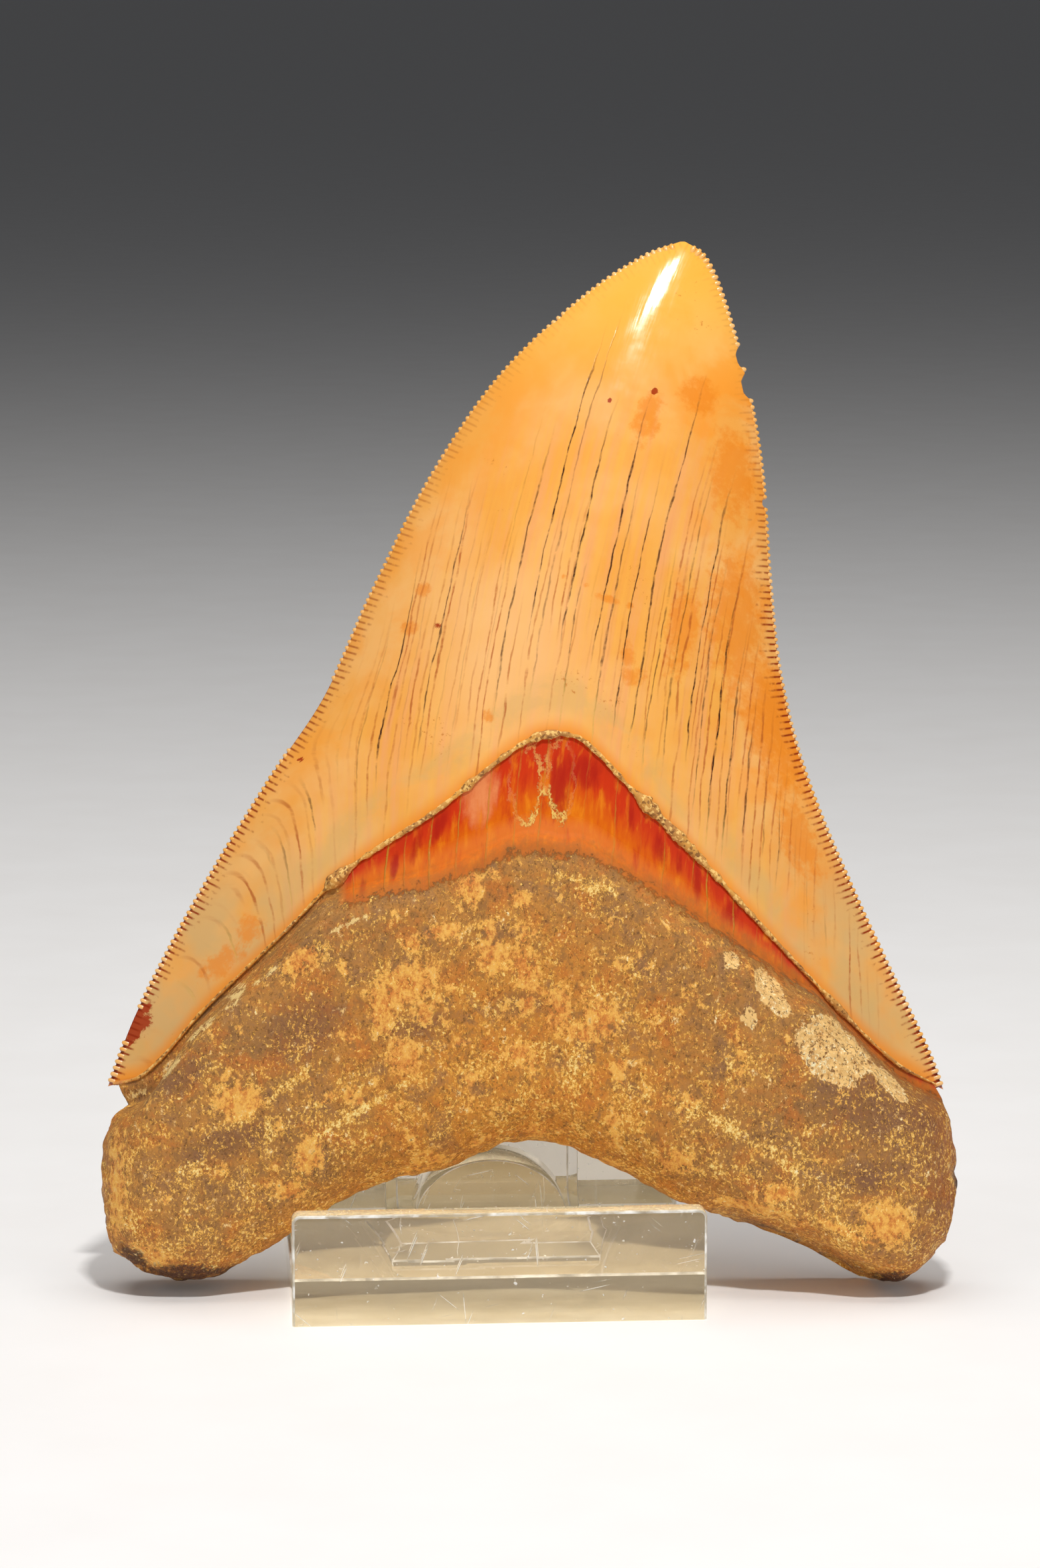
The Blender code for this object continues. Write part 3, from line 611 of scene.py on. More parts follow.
def place_in_frame(mesh):
    """Lean a tooth mesh back, and keep it inside the CAD node's box."""
    points = np.clip(stand_up(read_points(mesh)), low_corner * MM, high_corner * MM)
    mesh.vertices.foreach_set("co", points.astype(np.float32).ravel())
    mesh.update()


place_in_frame(crown_mesh)
place_in_frame(root_mesh)

# %% [markdown]
# ## Tools for the finishes
# Colours are written as sRGB hex values, as a painter would note them, and turned to
# the linear values that the shader mixes. One small function adds any node: an input
# is given by its name or place, as a number, a colour or another node to link. Feeding
# the inputs is a step of its own, because a new material brings its shader along, and
# that only has to be fed.

# %% Colour and node tools
bpy.context.scene.view_settings.view_transform = "Standard"     # shows each hex colour as written
SMOOTH = {"interpolation_type": "SMOOTHSTEP"}       # a Map Range that starts and ends gently


def linear(hex_colour):
    """sRGB hex to linear RGBA."""
    parts = [int(hex_colour[i:i + 2], 16) / 255 for i in (1, 3, 5)]
    return [p / 12.92 if p <= 0.04045 else ((p + 0.055) / 1.055) ** 2.4 for p in parts] + [1.0]


def feed(tree, node, inputs):
    """Set or link a node's inputs, each given by its name or its place."""
    shown = [socket for socket in node.inputs if socket.enabled]
    for key, value in inputs.items():
        socket = shown[key] if isinstance(key, int) else next(s for s in shown if s.name == key)
        if isinstance(value, bpy.types.Node):
            value = next(s for s in value.outputs if s.enabled)
        if isinstance(value, bpy.types.NodeSocket):
            tree.links.new(value, socket)
        elif isinstance(value, str) and value.startswith("#"):
            socket.default_value = linear(value)
        else:
            socket.default_value = value


def add_node(tree, kind, inputs=None, **settings):
    """Add a node with its settings and links. A short kind, such as Mix, is a shader node's."""
    node = tree.nodes.new(kind if "Node" in kind else "ShaderNode" + kind)
    for name, value in settings.items():
        setattr(node, name, value)
    feed(tree, node, inputs or {})
    return node


def new_finish(name):
    """A material, a tool that adds nodes to it, and a tool that feeds its Principled shader."""
    finish = bpy.data.materials.new(name)
    finish.use_nodes = True
    tree = finish.node_tree
    return finish, partial(add_node, tree), partial(feed, tree, tree.nodes["Principled BSDF"])


print("#808080 is", round(linear("#808080")[0], 3), "in linear light")

# %% [markdown]
# ## Enamel
# Fossil shark enamel is hard and glossy, tinted warm yellow by iron in the ground. Its
# colour is cloudy, deeper orange towards the edges and olive in the lower corners.
# Fine cracks run up it, darkened by silt. They are drawn from the flow coordinate: its
# whole part numbers each crack, a random number per crack shifts it and sets its
# start, end and depth, and what is left is the distance from its line.

# %% Crack lines
def crack_lines(add, flow, up, risen, spacing, width, starts, ends, seed):
    """Thin lines along the flow, one for each spacing, from starts (risen) to ends (up)."""
    wander_at = add("CombineXYZ", {"X": flow, "Y": up, "Z": seed})
    wander_scaled = add("VectorMath", {0: wander_at, 1: (0.25, 0.07, 1.0)}, operation="MULTIPLY")
    wander = add("TexNoise", {"Vector": wander_scaled, "Scale": 1.0, "Detail": 5.0, "Roughness": 0.62})
    shift = add("Math", {0: wander, 1: 1.7, 2: flow}, operation="MULTIPLY_ADD")
    counted = add("Math", {0: shift, 1: spacing}, operation="DIVIDE")
    number = add("Math", {0: counted}, operation="FLOOR")
    inside = add("Math", {0: counted}, operation="FRACT")
    seeded = add("Math", {0: number, 1: seed}, operation="ADD")
    chance = add("TexWhiteNoise", {"W": seeded}, noise_dimensions="1D")
    three = add("SeparateColor", {0: chance.outputs["Color"]})
    centre = add("MapRange", {"Value": chance.outputs["Value"], "To Min": 0.22, "To Max": 0.78})
    off = add("Math", {0: inside, 1: centre}, operation="SUBTRACT")
    gap = add("Math", {0: off}, operation="ABSOLUTE")
    far = add("Math", {0: gap, 1: spacing}, operation="MULTIPLY")
    line = add("MapRange", {"Value": far, "From Min": width * 0.35, "From Max": width, "To Min": 1.0,
                            "To Max": 0.0})
    low = add("MapRange", {"Value": three.outputs[0], "To Min": starts[0], "To Max": starts[1]})
    high = add("MapRange", {"Value": three.outputs[1], "To Min": ends[0], "To Max": ends[1]})
    above = add("Math", {0: risen, 1: low}, operation="SUBTRACT")
    begun = add("MapRange", {"Value": above, "From Max": 7.0}, **SMOOTH)
    left = add("Math", {0: high, 1: up}, operation="SUBTRACT")
    ended = add("MapRange", {"Value": left, "From Max": 14.0}, **SMOOTH)
    dash_at = add("CombineXYZ", {"X": seeded, "Y": up})
    dash_scaled = add("VectorMath", {0: dash_at, 1: (7.3, 0.34, 1.0)}, operation="MULTIPLY")
    dash = add("TexNoise", {"Vector": dash_scaled, "Scale": 1.0, "Detail": 4.0, "Roughness": 0.7})
    dashed = add("MapRange", {"Value": dash, "From Min": 0.33, "From Max": 0.55})
    depth = add("MapRange", {"Value": three.outputs[2], "From Min": 0.1, "From Max": 0.8, "To Min": 0.15})
    strength = line
    for share in (begun, ended, dashed, depth):
        strength = add("Math", {0: strength, 1: share}, operation="MULTIPLY")
    return strength


# %% Enamel: clouds and silky streaks
APATITE_IOR = 1.62
enamel, add, shade_enamel = new_finish("Fossil tooth enamel")
place = add("Attribute", attribute_name="tooth_place").outputs["Vector"]
up = add("SeparateXYZ", {0: place}).outputs["Y"]
flow, from_edge, edge_run, left_side, above_hem = (
    add("Attribute", attribute_name=name).outputs["Fac"]
    for name in ("flow", "from_edge", "edge_run", "left_side", "above_hem"))

# Clouds a centimetre or two across, then silky streaks 1 to 2 mm wide along the growth
clouds = add("TexNoise", {"Vector": place, "Scale": 0.075, "Detail": 4.0, "Roughness": 0.55})
cloudy = add("MapRange", {"Value": clouds, "From Min": 0.36, "From Max": 0.64}, **SMOOTH)
streak_at = add("CombineXYZ", {"X": flow, "Y": up})
streak_scaled = add("VectorMath", {0: streak_at, 1: (0.75, 0.035, 1.0)}, operation="MULTIPLY")
streaks = add("TexNoise", {"Vector": streak_scaled, "Scale": 1.0, "Detail": 4.0, "Roughness": 0.6})
pinkish = add("MapRange", {"Value": streaks, "From Min": 0.48, "From Max": 0.72, "To Max": 0.75})
yellowish = add("MapRange", {"Value": streaks, "From Min": 0.5, "From Max": 0.3, "To Max": 0.6})
inner = add("MapRange", {"Value": from_edge, "From Min": 3.0, "From Max": 11.0}, **SMOOTH)
below_tip = add("MapRange", {"Value": up, "From Min": 118.0, "From Max": 100.0}, **SMOOTH)
middle = add("Math", {0: inner, 1: below_tip}, operation="MULTIPLY")
enamel_layers = [(cloudy, "#e8ab62")]
for share, tint in ((pinkish, "#e59c64"), (yellowish, "#ebaa48")):
    share = add("Math", {0: share, 1: middle}, operation="MULTIPLY")
    enamel_layers.append((share, tint))
print("silky ground:", len(enamel_layers), "layers of colour")

# %% Enamel: orange edges, yellow tip, olive corners
# Deeper orange towards the edges, in patches, most of it on the right
rust_clouds = add("TexNoise", {"Vector": place, "Scale": 0.11, "Detail": 5.0, "Roughness": 0.6,
                               "Distortion": 0.4})
orange = add("MapRange", {"Value": rust_clouds, "From Min": 0.42, "From Max": 0.62, "To Max": 0.85},
             **SMOOTH)
near_edge = add("MapRange", {"Value": from_edge, "From Min": 14.0, "From Max": 2.5, "To Min": 0.12},
                **SMOOTH)
sided = add("MapRange", {"Value": left_side, "To Min": 0.95, "To Max": 0.4})
for share in (near_edge, sided):
    orange = add("Math", {0: orange, 1: share}, operation="MULTIPLY")
tipward = add("MapRange", {"Value": up, "From Min": 108.0, "From Max": 126.0, "To Max": 0.8}, **SMOOTH)

# A painted highlight makes the enamel paler over the bare band's peak; olive and cream in the two lower
# corners
peak = add("VectorMath", {0: place, 1: (-3.0, 76.0, 14.0)}, operation="DISTANCE").outputs["Value"]
pale = add("MapRange", {"Value": peak, "From Min": 17.0, "From Max": 3.0, "To Max": 0.55}, **SMOOTH)
low = add("MapRange", {"Value": up, "From Min": 64.0, "From Max": 40.0}, **SMOOTH)
corner_clouds = add("TexNoise", {"Vector": place, "Scale": 0.14, "Detail": 3.0})
corner_share = add("MapRange", {"Value": corner_clouds, "From Min": 0.35, "From Max": 0.6, "To Min": 0.25,
                                "To Max": 0.95})
olive = add("Math", {0: low, 1: corner_share}, operation="MULTIPLY")

# A greenish line 5 mm above the hem, and an orange glow right at it
off_line = add("Math", {0: above_hem, 1: 5.0}, operation="SUBTRACT")
off_line = add("Math", {0: off_line}, operation="ABSOLUTE")
beside_hem = add("MapRange", {"Value": off_line, "From Min": 3.4, "From Max": 1.0}, **SMOOTH)
greenish = add("MapRange", {"Value": rust_clouds, "From Min": 0.54, "From Max": 0.42, "To Max": 0.4})
greenish = add("Math", {0: greenish, 1: beside_hem}, operation="MULTIPLY")
hem_glow = add("MapRange", {"Value": above_hem, "From Min": 2.6, "From Max": 0.0, "To Max": 0.75},
               **SMOOTH)
# pale is a painted highlight over the bare band's peak
enamel_layers += [(orange, "#ea8c20"), (tipward, "#f0b044"), (pale, "#eebb80"), (olive, "#cca368"),
                  (greenish, "#c6a264"), (hem_glow, "#e58416")]
print("with the zones:", len(enamel_layers), "layers of colour")

# %% Enamel: rusty flecks and stains
# Rusty flecks under half a millimetre across, in loose groups
flecks = add("TexNoise", {"Vector": place, "Scale": 1.9, "Detail": 4.0, "Roughness": 0.7})
groups = add("TexNoise", {"Vector": place, "Scale": 0.12, "Detail": 2.0})
grouped = add("MapRange", {"Value": groups, "From Min": 0.6, "From Max": 0.72, "To Max": 0.14})
fleck_level = add("Math", {0: flecks, 1: grouped}, operation="ADD")
flecked = add("MapRange", {"Value": fleck_level, "From Min": 0.73, "From Max": 0.79, "To Max": 0.7})
enamel_layers.append((flecked, "#b8661c"))

# The listed ovals, each with a smoky border
STAINS = (("amber", "#e07c14", 0.62, 1.75, 3.1), ("rusty", "#9c2a08", 0.92, 2.15, 2.6))
smoke = add("TexNoise", {"Vector": place, "Scale": 0.7, "Detail": 6.0, "Roughness": 0.7})
for name, tint, most, least, full in STAINS:
    level = add("Attribute", attribute_name=name).outputs["Fac"]
    level = add("Math", {0: smoke, 1: 4.5, 2: level}, operation="MULTIPLY_ADD")
    spot = add("MapRange", {"Value": level, "From Min": least, "From Max": full, "To Max": most},
               **SMOOTH)
    enamel_layers.append((spot, tint))
print("with flecks and stains:", len(enamel_layers), "layers of colour")

# %% Enamel: cracks
# Red-brown hairlines a millimetre apart, and dark silted ones two apart
hairlines = crack_lines(add, flow, up, above_hem, 1.15, 0.15, (-4.0, 14.0), (76.0, 112.0), 3.0)
dark_cracks = crack_lines(add, flow, up, above_hem, 2.15, 0.13, (-3.0, 12.0), (92.0, 128.0), 17.0)
near_field = add("MapRange", {"Value": from_edge, "From Min": 1.2, "From Max": 5.0}, **SMOOTH)
in_field = add("MapRange", {"Value": from_edge, "From Min": 3.0, "From Max": 8.0}, **SMOOTH)
for share in (near_field, 0.75):
    hairlines = add("Math", {0: hairlines, 1: share}, operation="MULTIPLY")
dark_cracks = add("Math", {0: dark_cracks, 1: in_field}, operation="MULTIPLY")
filled = add("MapRange", {"Value": above_hem, "From Min": 11.0, "From Max": 3.0}, **SMOOTH)
silt = add("Mix", {"Factor": filled, "A": "#33160e", "B": "#c9a050"}, data_type="RGBA")
enamel_layers += [(hairlines, "#a34a1a"), (dark_cracks, silt)]
print("with the cracks:", len(enamel_layers), "layers of colour")

# %% Enamel: silt in the notches
# Notches between the serrations hold dark red silt, most of it low on the edges
part = add("Math", {0: edge_run}, operation="FRACT")
from_notch = add("Math", {0: part, 1: 0.5}, operation="SUBTRACT")
from_notch = add("Math", {0: from_notch}, operation="ABSOLUTE")
notch = add("MapRange", {"Value": from_notch, "From Min": 0.24, "From Max": 0.06})
reach_noise = add("TexNoise", {"Vector": place, "Scale": 0.9, "Detail": 2.0})
reach = add("MapRange", {"Value": reach_noise, "From Min": 0.3, "From Max": 0.7, "To Min": 0.8,
                         "To Max": 2.5})
near = add("Math", {0: from_edge, 1: reach}, operation="DIVIDE")
fading = add("MapRange", {"Value": near, "From Min": 1.15, "From Max": 0.6})
stain_left = add("MapRange", {"Value": up, "From Min": 118.0, "From Max": 58.0, "To Min": 0.12,
                              "To Max": 0.95})
stain_right = add("MapRange", {"Value": up, "From Min": 112.0, "From Max": 82.0, "To Min": 0.15,
                               "To Max": 1.0})
stain = add("Mix", {"Factor": left_side, "A": stain_right, "B": stain_left}, data_type="FLOAT")
for share in (notch, fading):
    stain = add("Math", {0: stain, 1: share}, operation="MULTIPLY")
enamel_layers.append((stain, "#8a2a0c"))
print("with the notches:", len(enamel_layers), "layers of colour")

# %% Enamel: lay the colours, add the gloss
colour = "#e59d44"
for share, tint in enamel_layers:
    colour = add("Mix", {"Factor": share, "A": colour, "B": tint}, data_type="RGBA")

# Polished, with the cracks sunk and a soft unevenness 2 mm across
ripple_at = add("VectorMath", {0: streak_at, 1: (0.5, 0.06, 1.0)}, operation="MULTIPLY")
ripple = add("TexNoise", {"Vector": ripple_at, "Scale": 1.0, "Detail": 3.0})
gloss_noise = add("TexNoise", {"Vector": place, "Scale": 0.5, "Detail": 4.0})
roughness = add("MapRange", {"Value": gloss_noise, "From Min": 0.3, "From Max": 0.7, "To Min": 0.08,
                             "To Max": 0.15})
cut = add("Math", {0: dark_cracks, 1: -0.6, 2: ripple}, operation="MULTIPLY_ADD")
bump = add("Bump", {"Strength": 0.5, "Distance": 0.00012, "Height": cut})
shade_enamel({"Base Color": colour, "Roughness": roughness, "Normal": bump, "IOR": APATITE_IOR})
print("enamel:", len(enamel.node_tree.nodes), "nodes,", len(enamel_layers), "layers of colour")

# %% [markdown]
# ## Root and bare band
# The root is bone: matt, brown-olive, speckled with ochre grains under half a
# millimetre, with smoother peach patches, yellow veins and a burnt rim. Between root
# and enamel a band of bare dentine shines red-orange, striped along the growth. One
# finish covers both, because they are one surface: the band starts where the stored
# height above the root's edge passes zero, and noise makes that border ragged.

# %% Root: zones
root_bone, add, shade_root = new_finish("Fossil root bone and bare dentine")
place = add("Attribute", attribute_name="tooth_place").outputs["Vector"]
across, up = add("SeparateXYZ", {0: place}).outputs[:2]
flow, above_root, above_hem, chip, from_rim = (
    add("Attribute", attribute_name=name).outputs["Fac"]
    for name in ("flow", "above_root", "above_hem", "chip", "from_rim"))

# Zones a centimetre or so across: grey-brown and tan, gold over the middle, rust
zones = add("TexNoise", {"Vector": place, "Scale": 0.08, "Detail": 4.0, "Roughness": 0.6})
zone = add("MapRange", {"Value": zones, "From Min": 0.38, "From Max": 0.62}, **SMOOTH)
middle = add("VectorMath", {0: place, 1: (-1.0, 24.0, 12.0)}, operation="DISTANCE").outputs["Value"]
golden = add("MapRange", {"Value": middle, "From Min": 32.0, "From Max": 8.0, "To Max": 0.85}, **SMOOTH)
rust = add("TexNoise", {"Vector": place, "Scale": 0.2, "Detail": 7.0, "Roughness": 0.7,
                        "Distortion": 0.5})
rusty = add("MapRange", {"Value": rust, "From Min": 0.5, "From Max": 0.62, "To Max": 0.6})
greyish = add("MapRange", {"Value": rust, "From Min": 0.47, "From Max": 0.38, "To Max": 0.55})
lower_edge = add("MapRange", {"Value": from_rim, "From Min": 4.5, "From Max": 0.5, "To Max": 0.5},
                 **SMOOTH)
russet = add("MapRange", {"Value": across, "From Min": 45.0, "From Max": 52.5, "To Max": 0.6})

# Sand-like grit in two sizes, 0.3 and 0.15 mm, a little drawn out upwards
GRIT_PER_MM = (3.4, 6.6)
uneven = add("TexNoise", {"Vector": place, "Scale": 2.2, "Detail": 2.0})
drawn_out = add("VectorMath", {0: place, 1: (1.0, 0.72, 1.0)}, operation="MULTIPLY")
grit_at = add("VectorMath", {0: uneven.outputs["Color"], 1: (0.5, 0.5, 0.5), 2: drawn_out},
              operation="MULTIPLY_ADD")
sizes = []
for per_mm in GRIT_PER_MM:
    cells = add("TexVoronoi", {"Vector": grit_at, "Scale": per_mm})
    sizes.append(add("SeparateColor", {0: cells.outputs["Color"]}).outputs[0])
grit = add("Mix", {"Factor": 0.5, "A": sizes[0], "B": sizes[1]}, data_type="FLOAT")
pores = add("MapRange", {"Value": grit, "From Min": 0.3, "From Max": 0.12, "To Max": 0.6})
print("root zones and grit:", len(root_bone.node_tree.nodes), "nodes")

# %% Root: patches and flecks
# Crust noise runs from a millimetre down to dust, and breaks up every border
border = add("TexNoise", {"Vector": drawn_out, "Scale": 0.9, "Detail": 8.0, "Roughness": 0.76})
mottled = add("MapRange", {"Value": border, "From Min": 0.5, "From Max": 0.4, "To Max": 0.55})
broken = add("Math", {0: border, 1: 9.0, 2: grit}, operation="MULTIPLY_ADD")
BROKEN_MEAN = 5.0               # what broken comes to on average: 9 x 0.5 + 0.5


def patch_share(name, most, soft, also=-2.0, sparse=0.0):
    """The share of a group of ovals, its border broken up; a sparse one breaks into crumbs."""
    level = add("Attribute", attribute_name=name).outputs["Fac"]
    level = add("Math", {0: level, 1: also}, operation="MAXIMUM")
    level = add("Math", {0: broken, 1: 1.0 + sparse, 2: level}, operation="MULTIPLY_ADD")
    half = BROKEN_MEAN * (1.0 + sparse) + sparse
    return add("MapRange", {"Value": level, "From Min": half - soft, "From Max": half + soft,
                            "To Max": most})


# More blotches, 3 mm across, fill the middle of the root
blotches = add("TexNoise", {"Vector": drawn_out, "Scale": 0.34, "Detail": 3.0, "Roughness": 0.55})
blotches = add("MapRange", {"Value": blotches, "From Min": 0.48, "From Max": 0.68, "To Min": -1.6,
                            "To Max": 0.9})
central = add("MapRange", {"Value": golden, "From Max": 0.8, "To Min": -0.9, "To Max": 0.1})
blotches = add("Math", {0: blotches, 1: central}, operation="ADD")

# Gold flecks crowd together in clouds, towards the foot, and along the veins
flecks = add("TexNoise", {"Vector": grit_at, "Scale": 2.6, "Detail": 4.0, "Roughness": 0.8})
crowds = add("TexNoise", {"Vector": place, "Scale": 0.28, "Detail": 5.0, "Roughness": 0.65})
crowded = add("MapRange", {"Value": crowds, "From Min": 0.38, "From Max": 0.62, "To Min": -0.025,
                           "To Max": 0.065})
footward = add("MapRange", {"Value": from_rim, "From Min": 18.0, "From Max": 2.0, "To Max": 0.025})
dull_top = add("MapRange", {"Value": above_root, "From Min": -15.0, "From Max": -3.0, "To Max": -0.03})
fleck_level = flecks
for more in (crowded, footward, dull_top, patch_share("gold", 0.1, 0.9)):
    fleck_level = add("Math", {0: fleck_level, 1: more}, operation="ADD")
grains = add("MapRange", {"Value": fleck_level, "From Min": 0.57, "From Max": 0.61, "To Max": 0.88})
# Pale yellow dots on the strongest flecks are painted glints
painted_glints = add("MapRange", {"Value": fleck_level, "From Min": 0.65, "From Max": 0.68, "To Max": 0.8})

# Chips: pale spongy bone with dark pores
holes = add("MapRange", {"Value": grit, "From Min": 0.36, "From Max": 0.2, "To Max": 0.85})
spongy = "#f2c47a"
for share, tint in ((mottled, "#bd7c34"), (grains, "#fff4c8"), (holes, "#6c3c16")):
    spongy = add("Mix", {"Factor": share, "A": spongy, "B": tint}, data_type="RGBA")
chipped = add("Math", {0: border, 1: 3.0, 2: chip}, operation="MULTIPLY_ADD")
chipped = add("MapRange", {"Value": chipped, "From Min": 1.8, "From Max": 1.95})

# Ground colour first, then each layer over the one before
# Inside the peach patches: orange-red parts of their own colour, and painted yellow highlights
peach_painted_highlight = add("MapRange", {"Value": border, "From Min": 0.45, "From Max": 0.57})
peachy = add("Mix", {"Factor": peach_painted_highlight, "A": "#d97f30", "B": "#f9bd58"}, data_type="RGBA")
root_layers = (
    (zone, "#bb7f38"), (golden, "#d3882a"), (rusty, "#cb6f20"), (greyish, "#8b6346"),
    (lower_edge, "#d27e24"), (patch_share("smoky", 0.75, 0.9), "#7a5036"), (mottled, "#7c5630"),
    (pores, "#523216"), (russet, "#8a4620"), (patch_share("peach", 0.88, 0.3, blotches), peachy),
    (grains, "#f4b648"), (painted_glints, "#ffe89a"), (patch_share("pale", 0.85, 0.4, sparse=0.6), "#f6d48a"),
    (patch_share("burnt", 0.92, 0.6), "#3a1407"), (chipped, spongy))
bone = "#a37138"
for share, tint in root_layers:
    bone = add("Mix", {"Factor": share, "A": bone, "B": tint}, data_type="RGBA")
print("root bone:", len(root_layers), "layers of colour")

# %% Bare band: red-orange dentine
whole = add("Math", {0: above_root, 1: above_hem}, operation="SUBTRACT")
risen = add("Math", {0: above_root, 1: whole}, operation="DIVIDE")
streak_at = add("CombineXYZ", {"X": flow, "Y": up})
streak_scaled = add("VectorMath", {0: streak_at, 1: (0.9, 0.2, 1.0)}, operation="MULTIPLY")
streaks = add("TexNoise", {"Vector": streak_scaled, "Scale": 1.0, "Detail": 6.0, "Roughness": 0.6,
                           "Distortion": 0.3})
wavy = add("Math", {0: streaks, 1: 0.9, 2: risen}, operation="MULTIPLY_ADD")
upper = add("MapRange", {"Value": wavy, "From Min": 0.55, "From Max": 1.25}, **SMOOTH)
yellowish = add("MapRange", {"Value": streaks, "From Min": 0.47, "From Max": 0.32, "To Max": 0.5})
reddish = add("MapRange", {"Value": streaks, "From Min": 0.56, "From Max": 0.7, "To Max": 0.5})
band_layers = [(upper, "#c2300a"), (yellowish, "#e28616"), (reddish, "#b02c08")]

# The darkest red right of the peak, and a wrinkled peach patch left of it
for name, tint, most in (("crimson", "#a41a0a", 0.8), ("wrinkled", "#e08c54", 0.85)):
    level = add("Attribute", attribute_name=name).outputs["Fac"]
    level = add("Math", {0: streaks, 1: 3.0, 2: level}, operation="MULTIPLY_ADD")
    level = add("Math", {0: border, 1: 1.5, 2: level}, operation="MULTIPLY_ADD")
    spot = add("MapRange", {"Value": level, "From Min": 1.6, "From Max": 3.4, "To Max": most}, **SMOOTH)
    band_layers.append((spot, tint))

# Yellow mineral in a few upright cracks, and in the seam round the two panels, which is
# deepest between them and low down
panel = add("Attribute", attribute_name="panel").outputs["Fac"]
panel = add("Math", {0: border, 1: 3.0, 2: panel}, operation="MULTIPLY_ADD")
panel = add("Math", {0: panel, 1: 1.5}, operation="SUBTRACT")
panel = add("Math", {0: panel}, operation="ABSOLUTE")
seam = add("MapRange", {"Value": panel, "From Min": 0.22, "From Max": 0.1, "To Max": 0.85})
worn_seam = add("MapRange", {"Value": streaks, "From Min": 0.36, "From Max": 0.5})
deep = add("MapRange", {"Value": up, "From Min": 65.0, "From Max": 58.5, "To Min": 0.35})
between = add("Math", {0: across, 1: 1.8}, operation="SUBTRACT")
between = add("Math", {0: between}, operation="ABSOLUTE")
inner = add("MapRange", {"Value": between, "From Min": 3.3, "From Max": 2.3, "To Min": 0.18})
for share in (worn_seam, deep, inner):
    seam = add("Math", {0: seam, 1: share}, operation="MULTIPLY")
splits = crack_lines(add, flow, up, up, 3.1, 0.12, (20.0, 50.0), (66.0, 90.0), 31.0)
seams = add("Math", {0: splits, 1: seam}, operation="MAXIMUM")
band_layers += [(splits, "#b87a24"), (seam, "#ecc668")]
print("bare band:", len(band_layers), "layers of colour")

# %% Root and band: one border, one skin
ragged = add("Math", {0: border, 1: 7.0, 2: above_root}, operation="MULTIPLY_ADD")
leftward = add("MapRange", {"Value": across, "From Min": -4.0, "From Max": -18.0, "To Max": 1.4})
off_centre = add("Math", {0: across}, operation="ABSOLUTE")
central = add("MapRange", {"Value": off_centre, "From Min": 17.0, "From Max": 4.0, "To Max": 1.3},
              **SMOOTH)
for more in (leftward, central):
    ragged = add("Math", {0: ragged, 1: more}, operation="ADD")
in_band = add("MapRange", {"Value": ragged, "From Min": 2.6, "From Max": 3.2})
not_far_left = add("MapRange", {"Value": across, "From Min": -23.5, "From Max": -22.3})
in_band = add("Math", {0: in_band, 1: not_far_left}, operation="MULTIPLY")
powdery = add("MapRange", {"Value": ragged, "From Min": 6.2, "From Max": 3.0, "To Max": 0.8}, **SMOOTH)
band_layers.append((powdery, "#a25c1e"))
band = "#d46804"
for share, tint in band_layers:
    band = add("Mix", {"Factor": share, "A": band, "B": tint}, data_type="RGBA")
colour = add("Mix", {"Factor": in_band, "A": bone, "B": band}, data_type="RGBA")

matt = add("MapRange", {"Value": grit, "From Min": 0.2, "From Max": 0.8, "To Min": 0.8, "To Max": 0.5})
dusty = add("MapRange", {"Value": above_root, "From Min": 0.3, "From Max": 3.2, "To Min": 0.8,
                         "To Max": 0.24})
roughness = add("Mix", {"Factor": in_band, "A": matt, "B": dusty}, data_type="FLOAT")
band_height = add("Math", {0: seams, 1: 0.25}, operation="MULTIPLY")
sandy = add("Math", {0: grit, 1: 0.5, 2: border}, operation="MULTIPLY_ADD")
height = add("Mix", {"Factor": in_band, "A": sandy, "B": band_height}, data_type="FLOAT")
bump = add("Bump", {"Strength": 0.7, "Distance": 0.0004, "Height": height})
shade_root({"Base Color": colour, "Roughness": roughness, "Normal": bump, "IOR": 1.5})
print("root and band:", len(root_bone.node_tree.nodes), "nodes")

# %% Crown and root pieces
def add_tooth_piece(name, mesh, *finishes):
    """A piece of the tooth: it rides on the body and takes the CAD tooth's place."""
    piece = add_piece(name, mesh, *finishes)
    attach(piece, "root")
    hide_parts("tooth")
    return piece


crown = add_tooth_piece("tooth_crown", crown_mesh, enamel)
root = add_tooth_piece("tooth_root", root_mesh, root_bone)
print("crown and root have", sum(len(p.data.polygons) for p in (crown, root)), "faces")

# %% [markdown]
# ## Serrations
# Each cutting edge is a row of some 130 to 140 beads of enamel, twelve to the centimetre.
# They repeat along a path, so Geometry Nodes set them: the edge line is sampled at the
# pitch, a small oval bead is placed on each sample, turned along the line and varied a
# little, and beads are left out where the edge is chipped or worn. The result is kept
# as a plain mesh.

# %% Bead tree
def new_tree(name, inputs):
    """A Geometry Nodes tree with named inputs (name: kind), and the node tool bound to it."""
    tree = bpy.data.node_groups.new(name, "GeometryNodeTree")
    for socket, kind in {"Geometry": "Geometry", **inputs}.items():
        tree.interface.new_socket(socket, in_out="INPUT", socket_type="NodeSocket" + kind)
    tree.interface.new_socket("Geometry", in_out="OUTPUT", socket_type="NodeSocketGeometry")
    return tree, partial(add_node, tree)


